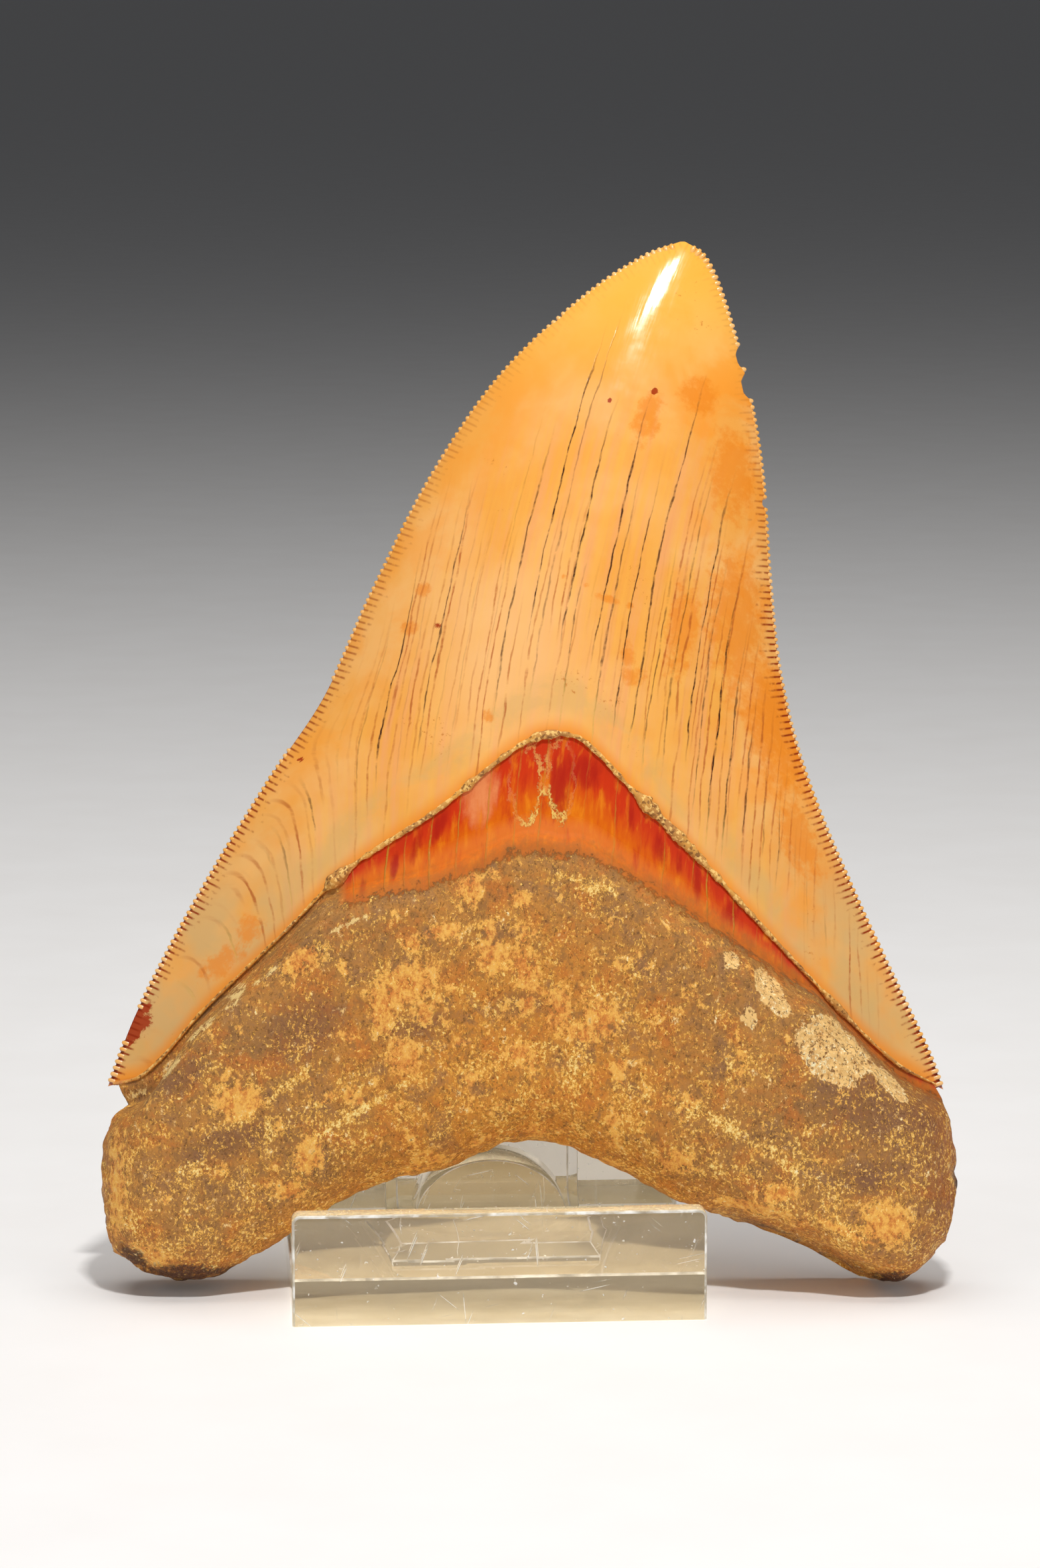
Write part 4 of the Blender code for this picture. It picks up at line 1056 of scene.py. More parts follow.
def bead_tree():
    """Geometry Nodes: beads along a line, with named sizes in metres."""
    tree, add = new_tree("Serration beads", {
        "Pitch": "Float", "Bead width": "Float", "Bead length": "Float", "Bead thickness": "Float",
        "Outward shift": "Float", "Unevenness": "Float", "Flat side": "Vector", "Seed": "Int",
        "Finish": "Material"})
    given = add("NodeGroupInput").outputs
    line = add("GeometryNodeMeshToCurve", {"Mesh": given["Geometry"]})
    spots = add("GeometryNodeResampleCurve", {"Curve": line, "Length": given["Pitch"]}, mode="LENGTH")
    oval = add("GeometryNodeMeshUVSphere", {"Segments": 10, "Rings": 6, "Radius": 0.5})
    where = add("GeometryNodeInputPosition")
    oval = add("GeometryNodeStoreNamedAttribute", {"Geometry": oval.outputs["Mesh"], "Name": "bead_place",
                                                   "Value": where}, data_type="FLOAT_VECTOR",
               domain="POINT")
    # A sphere pushed out towards its box: each point is divided by the cubic mean of its place
    apart = add("VectorMath", {0: where}, operation="ABSOLUTE")
    squared = add("VectorMath", {0: apart, 1: apart}, operation="MULTIPLY")
    cubed = add("VectorMath", {0: squared, 1: apart}, operation="MULTIPLY")
    summed = add("VectorMath", {0: cubed, 1: (1.0, 1.0, 1.0)}, operation="DOT_PRODUCT").outputs["Value"]
    mean = add("Math", {0: summed, 1: 1 / 3}, operation="POWER")
    pushed = add("Math", {0: 0.5, 1: mean}, operation="DIVIDE")
    boxy = add("VectorMath", {0: where, "Scale": pushed}, operation="SCALE")
    oval = add("GeometryNodeSetPosition", {"Geometry": oval, "Position": boxy})
    size = add("CombineXYZ", {"X": given["Bead width"], "Y": given["Bead length"],
                              "Z": given["Bead thickness"]})
    shift = add("CombineXYZ", {"Y": given["Outward shift"]})
    bead = add("GeometryNodeTransform", {"Geometry": oval, "Translation": shift, "Scale": size})
    tangent = add("GeometryNodeInputTangent")
    turned = add("FunctionNodeAlignRotationToVector", {"Vector": tangent}, axis="X")
    turned = add("FunctionNodeAlignRotationToVector", {"Rotation": turned, "Vector": given["Flat side"]},
                 axis="Z", pivot_axis="X")
    least = add("Math", {0: 1.0, 1: given["Unevenness"]}, operation="SUBTRACT")
    most = add("Math", {0: 1.0, 1: given["Unevenness"]}, operation="ADD")
    varied = add("FunctionNodeRandomValue", {"Min": least, "Max": most, "Seed": given["Seed"]},
                 data_type="FLOAT")
    serrated = add("GeometryNodeInputNamedAttribute", {"Name": "serrated"}, data_type="FLOAT")
    wanted = add("FunctionNodeCompare", {"A": serrated, "B": 0.5}, data_type="FLOAT",
                 operation="GREATER_THAN")
    beads = add("GeometryNodeInstanceOnPoints", {"Points": spots, "Selection": wanted, "Instance": bead,
                                                 "Rotation": turned, "Scale": varied})
    real = add("GeometryNodeRealizeInstances", {"Geometry": beads})
    smooth = add("GeometryNodeSetShadeSmooth", {"Geometry": real})
    finished = add("GeometryNodeSetMaterial", {"Geometry": smooth, "Material": given["Finish"]})
    add("NodeGroupOutput", {"Geometry": finished})
    return tree


beads_tree = bead_tree()
print("bead tree inputs:", [i.name for i in beads_tree.interface.items_tree if i.in_out == "INPUT"])


# %% Bead finish
def bead_finish():
    """Paler enamel on the crest of each bead, dark red silt between the beads."""
    finish, add, shade = new_finish("Fossil serration enamel")
    bead = add("Attribute", attribute_name="bead_place").outputs["Vector"]
    sideways = add("SeparateXYZ", {0: bead}).outputs["X"]
    place = add("TexCoord").outputs["Object"]
    across, up = (add("SeparateXYZ", {0: place}).outputs[axis] for axis in "XZ")
    mottled = add("TexNoise", {"Vector": place, "Scale": 160.0, "Detail": 3.0})
    tone = add("MapRange", {"Value": mottled, "From Min": 0.35, "From Max": 0.65})
    crest = add("Mix", {"Factor": tone, "A": "#e8a242", "B": "#f0ba74"}, data_type="RGBA")
    gap = add("Math", {0: sideways}, operation="ABSOLUTE")
    # Silt in groups, most of it low on the edges; Object coordinates are in metres
    groups = add("TexNoise", {"Vector": place, "Scale": 75.0, "Detail": 1.0})
    grouped = add("MapRange", {"Value": groups, "From Min": 0.36, "From Max": 0.5})
    sides = add("MapRange", {"Value": across, "From Min": -0.03, "From Max": 0.02, "To Min": 0.09,
                             "To Max": 0.112})
    above = add("Math", {0: up, 1: sides}, operation="SUBTRACT")
    low = add("MapRange", {"Value": above, "From Min": 0.0, "From Max": -0.035, "To Min": 0.25})
    between = add("MapRange", {"Value": gap, "From Min": 0.2, "From Max": 0.34})
    silt = add("Math", {0: between, 1: low}, operation="MULTIPLY")
    dark = add("Mix", {"Factor": grouped, "A": "#cf7414", "B": "#6e1406"}, data_type="RGBA")
    colour = add("Mix", {"Factor": silt, "A": crest, "B": dark}, data_type="RGBA")
    shade({"Base Color": colour, "Roughness": 0.3, "IOR": APATITE_IOR})
    return finish


bead_enamel = bead_finish()
print("bead enamel:", len(bead_enamel.node_tree.nodes), "nodes")

# %% Set the serrations
SMOOTH_STRETCHES = ((67.0, 75.5), (30.4, 34.2))     # here the left edge is worn smooth, in mm up
TIP_SMOOTH = 1.6                # there are no beads this near the tip
HEM_SMOOTH = 0.6                # nor this little above the edge's lower end
CHIPPED = 0.3                   # nor where more than this much of the edge is broken away
BEAD_SHIFT = 0.78               # bead middles lie this far inside the edge
BEAD_FORWARD = 0.16             # and this far in front of the edge's plane
BEAD_VERTICES = 52              # in one bead of 10 segments and 6 rings
flat_side = lean_turn[:, 2].tolist()        # square to the blade, towards the viewer


def edge_line(name, path, outer, chips):
    """The cutting edge as a line mesh in the frame, with where it is serrated."""
    mesh = bpy.data.meshes.new(name)
    places = stand_up(np.column_stack([path, np.full(len(path), BEAD_FORWARD)]))
    mesh.from_pydata(places.tolist(), [(i, i + 1) for i in range(len(path) - 1)], [])
    serrated = chip_depth(path, chips) < CHIPPED
    serrated &= np.linalg.norm(path - path[-1], axis=1) > TIP_SMOOTH
    serrated &= path[:, 1] > path[0, 1] + HEM_SMOOTH
    for low, high in SMOOTH_STRETCHES if outer < 0 else ():
        serrated &= (path[:, 1] < low) | (path[:, 1] > high)
    store(mesh, "serrated", serrated)
    return mesh


def grow(name, mesh, tree, inputs):
    """Run a Geometry Nodes tree on a mesh, and return the plain mesh that it makes."""
    carrier = bpy.data.objects.new(name + "_line", mesh)
    bpy.context.scene.collection.objects.link(carrier)
    modifier = carrier.modifiers.new("Grow", "NODES")
    modifier.node_group = tree
    sockets = {item.name: item.identifier for item in tree.interface.items_tree if item.in_out == "INPUT"}
    for key, value in inputs.items():
        modifier[sockets[key]] = value
    ready = carrier.evaluated_get(bpy.context.evaluated_depsgraph_get())
    grown = bpy.data.meshes.new_from_object(ready)
    grown.name = name
    carrier.modifiers.remove(modifier)
    bpy.data.objects.remove(carrier)
    return grown


for name, path, outer, chips in (("serrations_left", left_edge, -1, EDGE_CHIPS[0]),
                                 ("serrations_right", right_edge, 1, EDGE_CHIPS[1])):
    line = edge_line(name, path, outer, chips)
    grown = grow(name, line, beads_tree, {
        "Pitch": SERRATION_PITCH * MM, "Outward shift": outer * BEAD_SHIFT * MM, "Flat side": flat_side,
        "Bead width": 0.76 * MM, "Bead length": 1.7 * MM, "Bead thickness": 0.8 * MM, "Unevenness": 0.08,
        "Seed": 5 + outer, "Finish": bead_enamel})
    add_tooth_piece(name, grown)
    print(name, "has", len(grown.vertices) // BEAD_VERTICES, "beads and", len(grown.polygons), "faces")

# %% [markdown]
# ## Crust along the hem
# Where enamel ends, a thin crust of cemented sand fills the step, in front and behind.
# It follows a path, so Geometry Nodes draw it: the hem's line carries its own half
# width, a tube is swept along it, and noise pushes the tube's skin in and out.

# %% Crust tree
def crust_tree():
    """Geometry Nodes: a lumpy tube along a line that carries its half width."""
    tree, add = new_tree("Hem crust", {
        "Step": "Float", "Lump size": "Float", "Lump height": "Float", "Seed": "Int", "Finish": "Material"})
    given = add("NodeGroupInput").outputs
    line = add("GeometryNodeMeshToCurve", {"Mesh": given["Geometry"]})
    line = add("GeometryNodeResampleCurve", {"Curve": line, "Length": given["Step"]}, mode="LENGTH")
    half_width = add("GeometryNodeInputNamedAttribute", {"Name": "crust_width"}, data_type="FLOAT")
    kept = add("GeometryNodeCaptureAttribute", {"Geometry": line})
    kept.capture_items.new("FLOAT", "Half width")
    tree.links.new(half_width.outputs[0], kept.inputs["Half width"])
    rounded = add("GeometryNodeCurvePrimitiveCircle", {"Resolution": 9, "Radius": 1.0}, mode="RADIUS")
    line = add("GeometryNodeSetCurveRadius", {"Curve": kept.outputs["Geometry"],
                                              "Radius": kept.outputs["Half width"]})
    tube = add("GeometryNodeCurveToMesh", {"Curve": line, "Profile Curve": rounded, "Fill Caps": True,
                                           "Scale": kept.outputs["Half width"]})
    where = add("GeometryNodeInputPosition")
    fineness = add("Math", {0: 1.0, 1: given["Lump size"]}, operation="DIVIDE")
    lumps = add("TexNoise", {"Vector": where, "W": given["Seed"], "Scale": fineness, "Detail": 3.0},
                noise_dimensions="4D")
    swing = add("Math", {0: lumps, 1: 0.5}, operation="SUBTRACT")
    swing = add("Math", {0: swing, 1: given["Lump height"]}, operation="MULTIPLY")
    swing = add("Math", {0: swing, 1: kept.outputs["Half width"]}, operation="MULTIPLY")
    skin = add("GeometryNodeInputNormal")
    offset = add("VectorMath", {0: skin, "Scale": swing}, operation="SCALE")
    lumpy = add("GeometryNodeSetPosition", {"Geometry": tube, "Offset": offset})
    real = add("GeometryNodeRealizeInstances", {"Geometry": lumpy})
    smooth = add("GeometryNodeSetShadeSmooth", {"Geometry": real})
    finished = add("GeometryNodeSetMaterial", {"Geometry": smooth, "Material": given["Finish"]})
    add("NodeGroupOutput", {"Geometry": finished})
    return tree


crust_nodes = crust_tree()
print("crust tree inputs:", [i.name for i in crust_nodes.interface.items_tree if i.in_out == "INPUT"])


# %% Crust finish
def crust_finish():
    """Sandy crust: tan and grey grains with gold and black ones, matt."""
    finish, add, shade = new_finish("Cemented sand crust")
    place = add("TexCoord").outputs["Object"]
    uneven = add("TexNoise", {"Vector": place, "Scale": 1800.0, "Detail": 2.0})
    cells_at = add("VectorMath", {0: uneven.outputs["Color"], 1: (0.0004, 0.0004, 0.0004), 2: place},
                   operation="MULTIPLY_ADD")
    cells = add("TexVoronoi", {"Vector": cells_at, "Scale": 3200.0})
    grain = add("SeparateColor", {0: cells.outputs["Color"]}).outputs[0]
    zones = add("TexNoise", {"Vector": place, "Scale": 160.0, "Detail": 3.0})
    zone = add("MapRange", {"Value": zones, "From Min": 0.4, "From Max": 0.6})
    colour = add("Mix", {"Factor": zone, "A": "#b07a3e", "B": "#d69a44"}, data_type="RGBA")
    bright = add("MapRange", {"Value": grain, "From Min": 0.68, "From Max": 0.8, "To Max": 0.85})
    colour = add("Mix", {"Factor": bright, "A": colour, "B": "#edc070"}, data_type="RGBA")
    dark = add("MapRange", {"Value": grain, "From Min": 0.22, "From Max": 0.12, "To Max": 0.7})
    colour = add("Mix", {"Factor": dark, "A": colour, "B": "#6a3e1c"}, data_type="RGBA")
    bump = add("Bump", {"Strength": 0.8, "Distance": 0.0003, "Height": grain})
    shade({"Base Color": colour, "Roughness": 0.75, "Normal": bump})
    return finish


crust_sand = crust_finish()
print("crust:", len(crust_sand.node_tree.nodes), "nodes")

# %% Grow the crust
CRUST_HALF = 0.4                # half width along the bare band, in mm
CRUST_THIN = 0.28               # half width beyond the bare band's ends
CRUST_FADE = (24.0, 5.0)        # it thins this far from the band's middle, over this length
CRUST_SINK = 0.16               # its line lies this far inside the enamel's face
# Thicker places: (across, extra half width, reach), in mm
CRUST_LUMPS = [
    (-23.4, 1.0, 1.8), (-7.3, 0.35, 1.2), (1.9, 0.45, 2.0), (14.4, 0.75, 1.6), (18.6, 0.5, 5.0),
    (38.0, 0.3, 3.0),
]
CRUST_END = 0.16                # half width at its two ends


def crust_line(name, face):
    """The hem as a line mesh on the front (face 1) or back (face -1), with its half width."""
    path = hem[4:-4]
    depths = crown_depths(path[:, 0], path[:, 1])[0 if face > 0 else 1] * face
    depths = depths - face * np.minimum(CRUST_SINK, 0.3 * np.abs(depths))
    beside_band = ease((np.abs(path[:, 0] - BOURLETTE_CENTRE) - CRUST_FADE[0]) / CRUST_FADE[1])
    half_width = CRUST_HALF + (CRUST_THIN - CRUST_HALF) * beside_band
    for across, extra, reach in CRUST_LUMPS:
        half_width += extra * ease(1 - np.abs(path[:, 0] - across) / reach) * (face > 0)
    half_width *= 0.8 + 0.5 * np.array([noise.noise(Vector((x * 0.8, face, 0.0))) for x in path[:, 0]])
    ends = ease(np.minimum(path[:, 0] - path[0, 0], path[-1, 0] - path[:, 0]) / 5.0)
    half_width = CRUST_END + (half_width - CRUST_END) * ends
    mesh = bpy.data.meshes.new(name)
    places = stand_up(np.column_stack([path, depths]))
    mesh.from_pydata(places.tolist(), [(i, i + 1) for i in range(len(path) - 1)], [])
    store(mesh, "crust_width", half_width * MM)
    return mesh


for name, face in (("hem_crust_front", 1), ("hem_crust_back", -1)):
    grown = grow(name, crust_line(name, face), crust_nodes, {
        "Step": 0.22 * MM, "Lump size": 0.7 * MM, "Lump height": 1.1, "Seed": 8 + face,
        "Finish": crust_sand})
    add_tooth_piece(name, grown)
    print(name, "has", len(grown.polygons), "faces")

# %% [markdown]
# ## Clear acrylic
# The stand is cut from cast acrylic sheet and solvent-glued. Where two sheets are
# glued, light passes as if they were one, so the five CAD solids are drawn here as one
# closed shell: each sheet is made a tenth of a millimetre too long at its glued face,
# and an exact union joins them. The corners of real sheet are scraped, so each sheet's
# sharp edges get a narrow bevel before the union, and its faces are marked for a finish
# of their own, scuffed white. The edges inside a glued joint stay sharp.

# %% Where the stand is
STAND_TURN = 4.0                # degrees, turned a little under the tooth; sizes are in mm
STAND_WIDTH = 50.0
BASE_DEPTH = 50.0
BASE_THICK = 5.0
GAP = 0.3                       # the CAD solids keep this gap where they are glued
GLUE_LAP = 0.1                  # here they reach this far into each other
LIP_HEIGHT, LIP_THICK, LIP_CORNER = 13.6, 3.0, 1.0
LIP_FACE = -LIP_THICK - GAP     # the lip's front face; y = 0 is the base's front edge
BACK_FACE, BACK_THICK = 33.5, 3.0
BACK_TOP, BACK_CORNER = 62.0, 2.4
base_low, base_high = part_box("base_plate")
base_middle = (np.array(base_low) + np.array(base_high)) / 2
stand_turn = np.array(Matrix.Rotation(radians(STAND_TURN), 3, "Z"))
stand_origin = base_middle * [1, 1, 0] - stand_turn @ np.array([0.0, BASE_DEPTH / 2 * MM, 0.0])
print("stand stands at", (stand_origin / MM).round(2), "mm")


def sheet(name, outline, along, start, end):
    """A closed solid: a flat outline carried along one axis, from start to end, in mm."""
    shape = bmesh.new()
    rings = []
    for place in (start, end):
        rings.append([shape.verts.new(np.insert(point, along, place)) for point in outline])
    shape.faces.new(rings[0])
    shape.faces.new(rings[1][::-1])
    for i, corner in enumerate(rings[0]):
        following = (i + 1) % len(outline)
        shape.faces.new([corner, rings[0][following], rings[1][following], rings[1][i]])
    bmesh.ops.recalc_face_normals(shape, faces=shape.faces)
    mesh = bpy.data.meshes.new(name)
    shape.to_mesh(mesh)
    shape.free()
    return mesh


def round_topped(half, bottom, top, corner, steps=8):
    """Outline of an upright sheet with two rounded top corners, as (across, up)."""
    outline = [(-half, bottom), (half, bottom)]
    for side, first in ((1, 0.0), (-1, pi / 2)):
        for k in range(steps + 1):
            turn = first + k * pi / 2 / steps
            outline.append((side * (half - corner) + corner * cos(turn), top - corner + corner * sin(turn)))
    return outline


# %% The bent strip and the heel block
STRIP_WIDTH, STRIP_THICK, STRIP_BEVEL = 24.5, 1.6, 1.4
STRIP_START, STRIP_TOP, STRIP_BEND = 6.7, 44.0, 3.0
HEEL_WIDTH, HEEL_HEIGHT, HEEL_DEPTH = 19.0, 7.6, 9.0
HEEL_FACE, HEEL_ACROSS = 19.4, 0.4
BEND_STEPS = 12


def strip_mesh():
    """The bevelled strip, as outline points (along, up) carried across the stand."""
    under, top = BASE_THICK - GLUE_LAP, BASE_THICK + GAP + STRIP_THICK
    back, face = BACK_FACE + GLUE_LAP, BACK_FACE - GAP - STRIP_THICK
    shown = [(face, STRIP_TOP)]
    for k in range(BEND_STEPS + 1):
        turn = k * pi / 2 / BEND_STEPS
        shown.append((face - STRIP_BEND * (1 - cos(turn)), top + STRIP_BEND * (1 - sin(turn))))
    shown.append((STRIP_START, top))
    hidden = [(STRIP_START, under), (back, under), (back, STRIP_TOP)]
    mesh = sheet("bent_strip", hidden + shown, 0, -STRIP_WIDTH / 2, STRIP_WIDTH / 2)
    shape = bmesh.new()
    shape.from_mesh(mesh)
    faces_up = {(round(y, 3), round(z, 3)) for y, z in shown}
    ends = {round(STRIP_TOP, 3), round(STRIP_START, 3)}

    def key(vert):
        return round(vert.co.y, 3), round(vert.co.z, 3)

    rim = []
    for edge in shape.edges:
        first, last = (key(vert) for vert in edge.verts)
        crosses = first == last and (first[0] in ends or first[1] in ends)
        if first in faces_up and last in faces_up and (first != last or crosses):
            rim.append(edge)
    bmesh.ops.bevel(shape, geom=rim, offset=STRIP_BEVEL, segments=1, affect="EDGES")
    bmesh.ops.recalc_face_normals(shape, faces=shape.faces)
    shape.to_mesh(mesh)
    shape.free()
    return mesh


def heel_outline(steps=48):
    """Half an ellipse, flat side down, as (across, up)."""
    floor = BASE_THICK + GAP + STRIP_THICK
    half = HEEL_WIDTH / 2
    arch = [(HEEL_ACROSS + half * cos(pi * k / steps), floor + GAP + HEEL_HEIGHT * sin(pi * k / steps))
            for k in range(steps + 1)]
    return [(HEEL_ACROSS - half, floor - GLUE_LAP), (HEEL_ACROSS + half, floor - GLUE_LAP)] + arch


strip = strip_mesh()
heel = sheet("heel", heel_outline(), 1, HEEL_FACE, HEEL_FACE + HEEL_DEPTH)
print("strip and heel block have", len(strip.polygons), "and", len(heel.polygons), "faces")

# %% Cut the sheets, scrape their corners
EDGE_BEVEL = 0.32               # on the lip and the two plates, in mm
STRIP_SCRAPE = 0.14             # on the thin strip and the heel block
SCUFFED, UNDERSIDE = 1, 2       # the places of these two finishes on each sheet
SHARP = radians(32)             # a corner sharper than this is scraped


def scraped(mesh, width, *glued):
    """Bevel the sharp edges of a sheet, but not those in its glued planes (axis, place)."""
    shape = bmesh.new()
    shape.from_mesh(mesh)
    rim = []
    for edge in shape.edges:
        hidden = any(all(abs(vert.co[axis] - place) < 0.001 for vert in edge.verts)
                     for axis, place in glued)
        if edge.calc_face_angle(0.0) > SHARP and not hidden:
            rim.append(edge)
    bmesh.ops.bevel(shape, geom=rim, offset=width, segments=2, profile=0.5, affect="EDGES",
                    material=SCUFFED, clamp_overlap=True)
    bmesh.ops.recalc_face_normals(shape, faces=shape.faces)
    shape.to_mesh(mesh)
    shape.free()
    return mesh


INSET = 0.06                    # plates lie this far inside the lip's ends, so no faces coincide
half_width = STAND_WIDTH / 2
plate_half = half_width - INSET
under_back, under_heel = BASE_THICK - GLUE_LAP, BASE_THICK + GAP + STRIP_THICK - GLUE_LAP
base_outline = [(side * plate_half, y) for side, y in (
    (-1, -GLUE_LAP), (1, -GLUE_LAP), (1, BASE_DEPTH - INSET / 2), (-1, BASE_DEPTH - INSET / 2))]
lip_outline = round_topped(half_width, 0.0, LIP_HEIGHT, LIP_CORNER)
back_outline = round_topped(half_width - INSET / 2, under_back, BACK_TOP, BACK_CORNER)
base = sheet("base", base_outline, 2, 0.0, BASE_THICK)
lip = sheet("lip", lip_outline, 1, LIP_FACE, 0.0)
back = sheet("back", back_outline, 1, BACK_FACE, BACK_FACE + BACK_THICK)
sheets = [
    scraped(base, EDGE_BEVEL, (1, -GLUE_LAP), (2, 0.0)),
    scraped(lip, EDGE_BEVEL, (2, 0.0)),
    scraped(back, EDGE_BEVEL, (2, under_back)),
    scraped(strip, STRIP_SCRAPE, (2, under_back), (1, BACK_FACE + GLUE_LAP)),
    scraped(heel, STRIP_SCRAPE, (2, under_heel)),
]
print("faces of each sheet:", {mesh.name: len(mesh.polygons) for mesh in sheets})

# %% [markdown]
# ## Scuffed corners and scratched faces
# Clear plastic is plain transmission with acrylic's index, 1.49, and a faint absorption
# that shows only over centimetres of path. Handling leaves straight hair scratches in
# a few directions, drawn like the enamel's cracks from a numbered line coordinate, and
# frosts the corners white. The underside is rubbed dull, because it slides on shelves; its
# beige is a painted reflection and shadow of the tooth, seen through the plastic.

# %% Scratches and tint
def scratch_lines(add, place, turn, spacing, width, seed):
    """Short straight scratches in one direction: their strength, 0 to 1."""
    turned = add("VectorRotate", {"Vector": place, "Angle": radians(turn)}, rotation_type="Y_AXIS")
    run, rise = (add("SeparateXYZ", {0: turned}).outputs[axis] for axis in "XZ")
    counted = add("Math", {0: rise, 1: spacing}, operation="DIVIDE")
    number = add("Math", {0: counted}, operation="FLOOR")
    inside = add("Math", {0: counted}, operation="FRACT")
    seeded = add("Math", {0: number, 1: seed}, operation="ADD")
    chance = add("TexWhiteNoise", {"W": seeded}, noise_dimensions="1D")
    off = add("Math", {0: inside, 1: chance.outputs["Value"]}, operation="SUBTRACT")
    gap = add("Math", {0: off}, operation="ABSOLUTE")
    line = add("MapRange", {"Value": gap, "From Min": width / spacing, "From Max": 0.3 * width / spacing})
    # Each scratch line is broken into stretches of about 6 mm
    along = add("Math", {0: run, 1: 170.0}, operation="MULTIPLY")
    stretch = add("CombineXYZ", {"X": along, "Y": seeded})
    lengths = add("TexNoise", {"Vector": stretch, "Scale": 1.0, "Detail": 1.0})
    short = add("MapRange", {"Value": lengths, "From Min": 0.57, "From Max": 0.68})
    return add("Math", {0: line, 1: short}, operation="MULTIPLY")


def tint_inside(finish, add):
    """The faint tint of the sheet itself; every finish of the stand needs the same one."""
    tint = add("VolumeAbsorption", {"Color": (0.62, 0.5, 0.24, 1.0), "Density": 13.0})
    feed(finish.node_tree, finish.node_tree.nodes["Material Output"], {"Volume": tint})


# %% Acrylic finishes
ACRYLIC_IOR = 1.49


def acrylic_finish():
    """Cast acrylic sheet, polished, hazy in places and scratched by handling."""
    finish, add, shade = new_finish("Clear cast acrylic")
    place = add("TexCoord").outputs["Object"]
    smudge = add("TexNoise", {"Vector": place, "Scale": 90.0, "Detail": 4.0})
    hazy = add("MapRange", {"Value": smudge, "From Min": 0.4, "From Max": 0.75, "To Min": 0.01,
                            "To Max": 0.05})
    scratches = None
    for turn, spacing, width, seed in ((12.0, 0.0031, 0.00008, 3.0), (68.0, 0.0027, 0.00007, 40.0),
                                       (95.0, 0.0042, 0.00009, 77.0), (140.0, 0.0036, 0.00007, 90.0)):
        lines = scratch_lines(add, place, turn, spacing, width, seed)
        if scratches:
            lines = add("Math", {0: scratches, 1: lines}, operation="MAXIMUM")
        scratches = lines
    specks = add("TexNoise", {"Vector": place, "Scale": 1500.0, "Detail": 2.0})
    specked = add("MapRange", {"Value": specks, "From Min": 0.71, "From Max": 0.75})
    worn = add("Math", {0: scratches, 1: specked}, operation="MAXIMUM")
    roughness = add("Math", {0: worn, 1: 0.5, 2: hazy}, operation="MULTIPLY_ADD")
    colour = add("Mix", {"Factor": worn, "A": "#f6efe2", "B": "#ffffff"}, data_type="RGBA")
    clear = add("MapRange", {"Value": worn, "To Min": 0.975, "To Max": 0.55})
    bump = add("Bump", {"Strength": 0.4, "Distance": 0.00005, "Height": worn})
    shade({"Base Color": colour, "Roughness": roughness, "Transmission Weight": clear, "Normal": bump,
           "IOR": ACRYLIC_IOR})
    tint_inside(finish, add)
    return finish


def scuffed_edge_finish():
    """The same acrylic where corners are scraped: frosted, whitish, chipped here and there."""
    finish, add, shade = new_finish("Scuffed acrylic edge")
    place = add("TexCoord").outputs["Object"]
    wear = add("TexNoise", {"Vector": place, "Scale": 420.0, "Detail": 5.0, "Roughness": 0.7})
    worn = add("MapRange", {"Value": wear, "From Min": 0.42, "From Max": 0.6})
    colour = add("Mix", {"Factor": worn, "A": "#d2ccbe", "B": "#f2f0ea"}, data_type="RGBA")
    clear = add("MapRange", {"Value": worn, "To Min": 0.75, "To Max": 0.1})
    roughness = add("MapRange", {"Value": worn, "To Min": 0.3, "To Max": 0.6})
    bump = add("Bump", {"Strength": 0.7, "Distance": 0.0001, "Height": wear})
    shade({"Base Color": colour, "Roughness": roughness, "Transmission Weight": clear, "Normal": bump,
           "IOR": ACRYLIC_IOR})
    tint_inside(finish, add)
    return finish


def underside_painted_reflection_finish():
    """The face that the stand is slid about on: rubbed dull, and painted beige for the tooth's reflection
    and shadow seen through the plastic.
    """
    finish, add, shade = new_finish("Rubbed acrylic underside with painted reflection")
    place = add("TexCoord").outputs["Object"]
    rubbed = add("TexNoise", {"Vector": place, "Scale": 120.0, "Detail": 6.0, "Roughness": 0.6})
    share = add("MapRange", {"Value": rubbed, "From Min": 0.35, "From Max": 0.65})
    # The beige is painted: it stands in for the tooth's brown reflection and shadow seen through the
    # plastic
    colour = add("Mix", {"Factor": share, "A": "#d8c8a2", "B": "#e8dab8"}, data_type="RGBA")
    shade({"Base Color": colour, "Roughness": 0.5, "Transmission Weight": 0.3, "IOR": ACRYLIC_IOR})
    tint_inside(finish, add)
    return finish


scuffed_edge = scuffed_edge_finish()
finishes = [acrylic_finish(), scuffed_edge, underside_painted_reflection_finish()]
print("acrylic:", [finish.name for finish in finishes])

# %% Join and finish the stand
GLUE_BEAD = 0.35                # legs of the cement's corner bead, in mm
BEAD_END = 0.3                  # the bead stops this far inside the lip's ends


def joined(name, meshes):
    """The exact union of closed meshes, as one plain mesh."""
    solids = [bpy.data.objects.new(mesh.name, mesh) for mesh in meshes]
    for solid in solids:
        bpy.context.scene.collection.objects.link(solid)
    for other in solids[1:]:
        union = solids[0].modifiers.new("Join", "BOOLEAN")
        union.operation, union.solver, union.object = "UNION", "EXACT", other
    ready = solids[0].evaluated_get(bpy.context.evaluated_depsgraph_get())
    mesh = bpy.data.meshes.new_from_object(ready)
    mesh.name = name
    for solid in solids:
        bpy.data.objects.remove(solid)
    return mesh


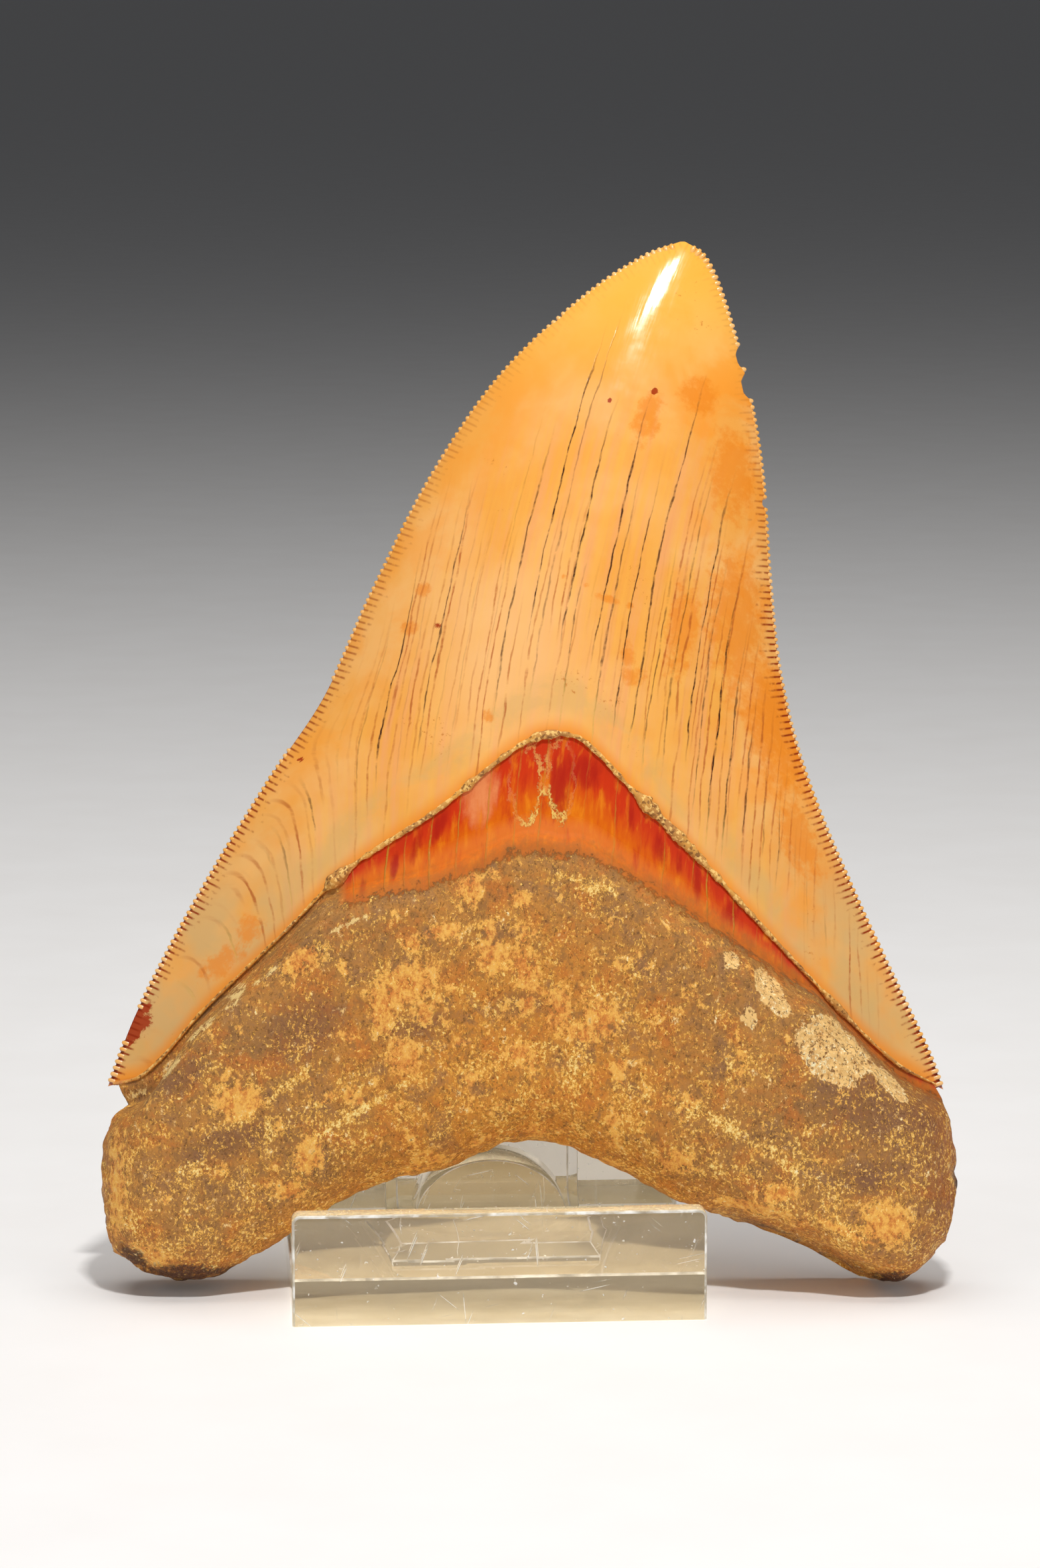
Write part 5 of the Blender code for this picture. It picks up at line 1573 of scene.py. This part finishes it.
for mesh in sheets:
    for finish in finishes:
        mesh.materials.append(finish)
stand_mesh = joined("clear_stand", sheets)
for face in stand_mesh.polygons:
    if face.normal.z < -0.99 and face.center.z < 0.05:
        face.material_index = UNDERSIDE
glue_corner = [(0.0, BASE_THICK), (GLUE_BEAD, BASE_THICK), (0.0, BASE_THICK + GLUE_BEAD)]
glue_mesh = sheet("glue_bead", glue_corner, 0, BEAD_END - half_width, half_width - BEAD_END)
glue_mesh.materials.append(scuffed_edge)
for mesh in (stand_mesh, glue_mesh):
    points = read_points(mesh) * MM @ stand_turn.T + stand_origin
    mesh.vertices.foreach_set("co", points.astype(np.float32).ravel())
    mesh.shade_smooth()
    mesh.set_sharp_from_angle(angle=radians(25))
    mesh.update()
stand, glue = add_piece("clear_stand", stand_mesh), add_piece("glue_bead", glue_mesh)
for piece in (stand, glue):
    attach(piece, "root")
    piece.visible_shadow = False      # lamp light passes clear plastic; the tooth still casts its shadow
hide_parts("base_plate", "front_lip", "bent_strip", "heel_block", "back_plate")
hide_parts("front_lip")
scuffed_faces = sum(face.material_index == SCUFFED for face in stand_mesh.polygons)
print("stand:", len(stand_mesh.polygons), "faces,", scuffed_faces, "of them scuffed")

# %% [markdown]
# ## Floor, light and camera
# A pale, plain floor and five soft lights: a small one above and in front, whose
# reflection lies on the slope below the tip, a wide one overhead, a low panel in front,
# a fill on each side, and a faint pale surrounding. The camera stands 650 mm away, a
# little above the tooth, and looks along +Y.

# %% Floor
def floor_finish():
    """Matt pale card."""
    finish, add, shade = new_finish("Pale matt card")
    place = add("TexCoord").outputs["Object"]
    fibre = add("TexNoise", {"Vector": place, "Scale": 60.0, "Detail": 5.0})
    tone = add("Mix", {"Factor": fibre, "A": "#eeebe8", "B": "#f4f2f0"}, data_type="RGBA")
    shade({"Base Color": tone, "Roughness": 0.7})
    return finish


FLOOR_HALF = 40.0               # in metres
AIR_UNDER = 0.04 * MM           # clear plastic is never in full contact with the card
floor_mesh = bpy.data.meshes.new("floor")
floor_corners = [(x, y, -AIR_UNDER) for x, y in FLOOR_HALF * np.array(((-1, -1), (1, -1), (1, 1), (-1, 1)))]
floor_mesh.from_pydata(floor_corners, [], [(0, 1, 2, 3)])
floor_mesh.materials.append(floor_finish())
floor = bpy.data.objects.new("floor", floor_mesh)
bpy.context.scene.collection.objects.link(floor)
print("floor lies at", round(-AIR_UNDER / MM, 3), "mm")

# %% Lights
world = bpy.data.worlds.new("Pale studio")
world.use_nodes = True
feed(world.node_tree, world.node_tree.nodes["Background"], {"Color": "#e9ecf2", "Strength": 0.075})
bpy.context.scene.world = world


def soft_box(name, place, width, height, power, aim=(0.0, 0.0, 0.06), mirrored=False):
    """A rectangular soft light, with its face turned to the tooth. Sizes in metres."""
    lamp = bpy.data.lights.new(name, "AREA")
    lamp.shape = "RECTANGLE"
    lamp.size, lamp.size_y, lamp.energy = width, height, power
    item = bpy.data.objects.new(name, lamp)
    bpy.context.scene.collection.objects.link(item)
    item.location = place
    item.rotation_euler = (Vector(place) - Vector(aim)).to_track_quat("Z", "Y").to_euler()
    item.visible_glossy = mirrored      # the fills give light but no veil on the gloss
    return item


soft_box("Front soft box", (0.07, -0.31, 0.67), 0.07, 0.035, 2.9, aim=(0.02, 0.02, 0.12), mirrored=True)
soft_box("Overhead soft box", (0.0, 0.1, 0.85), 0.9, 0.5, 4.3)
soft_box("Low front panel", (0.0, -1.3, 0.14), 1.6, 0.25, 4.0)
soft_box("Left fill", (-0.9, -0.55, 0.4), 0.9, 0.9, 2.2)
soft_box("Right fill", (0.9, -0.55, 0.4), 0.9, 0.9, 2.2)

# %% Camera
CAMERA_AIM = Vector((-1.18, 1.72, 61.2)) * MM
CAMERA_RISE = 9.2               # degrees above level
CAMERA_FAR = 0.650
lens = bpy.data.cameras.new("Camera")
lens.sensor_width = 36.0        # spans the upright frame's long side
lens.lens = 120.5
camera = bpy.data.objects.new("Camera", lens)
bpy.context.scene.collection.objects.link(camera)
back = Vector((0.0, -cos(radians(CAMERA_RISE)), sin(radians(CAMERA_RISE))))
camera.location = CAMERA_AIM + back * CAMERA_FAR
camera.rotation_euler = back.to_track_quat("Z", "Y").to_euler()
bpy.context.scene.camera = camera
print("camera at", [round(x / MM, 1) for x in camera.location], "mm")
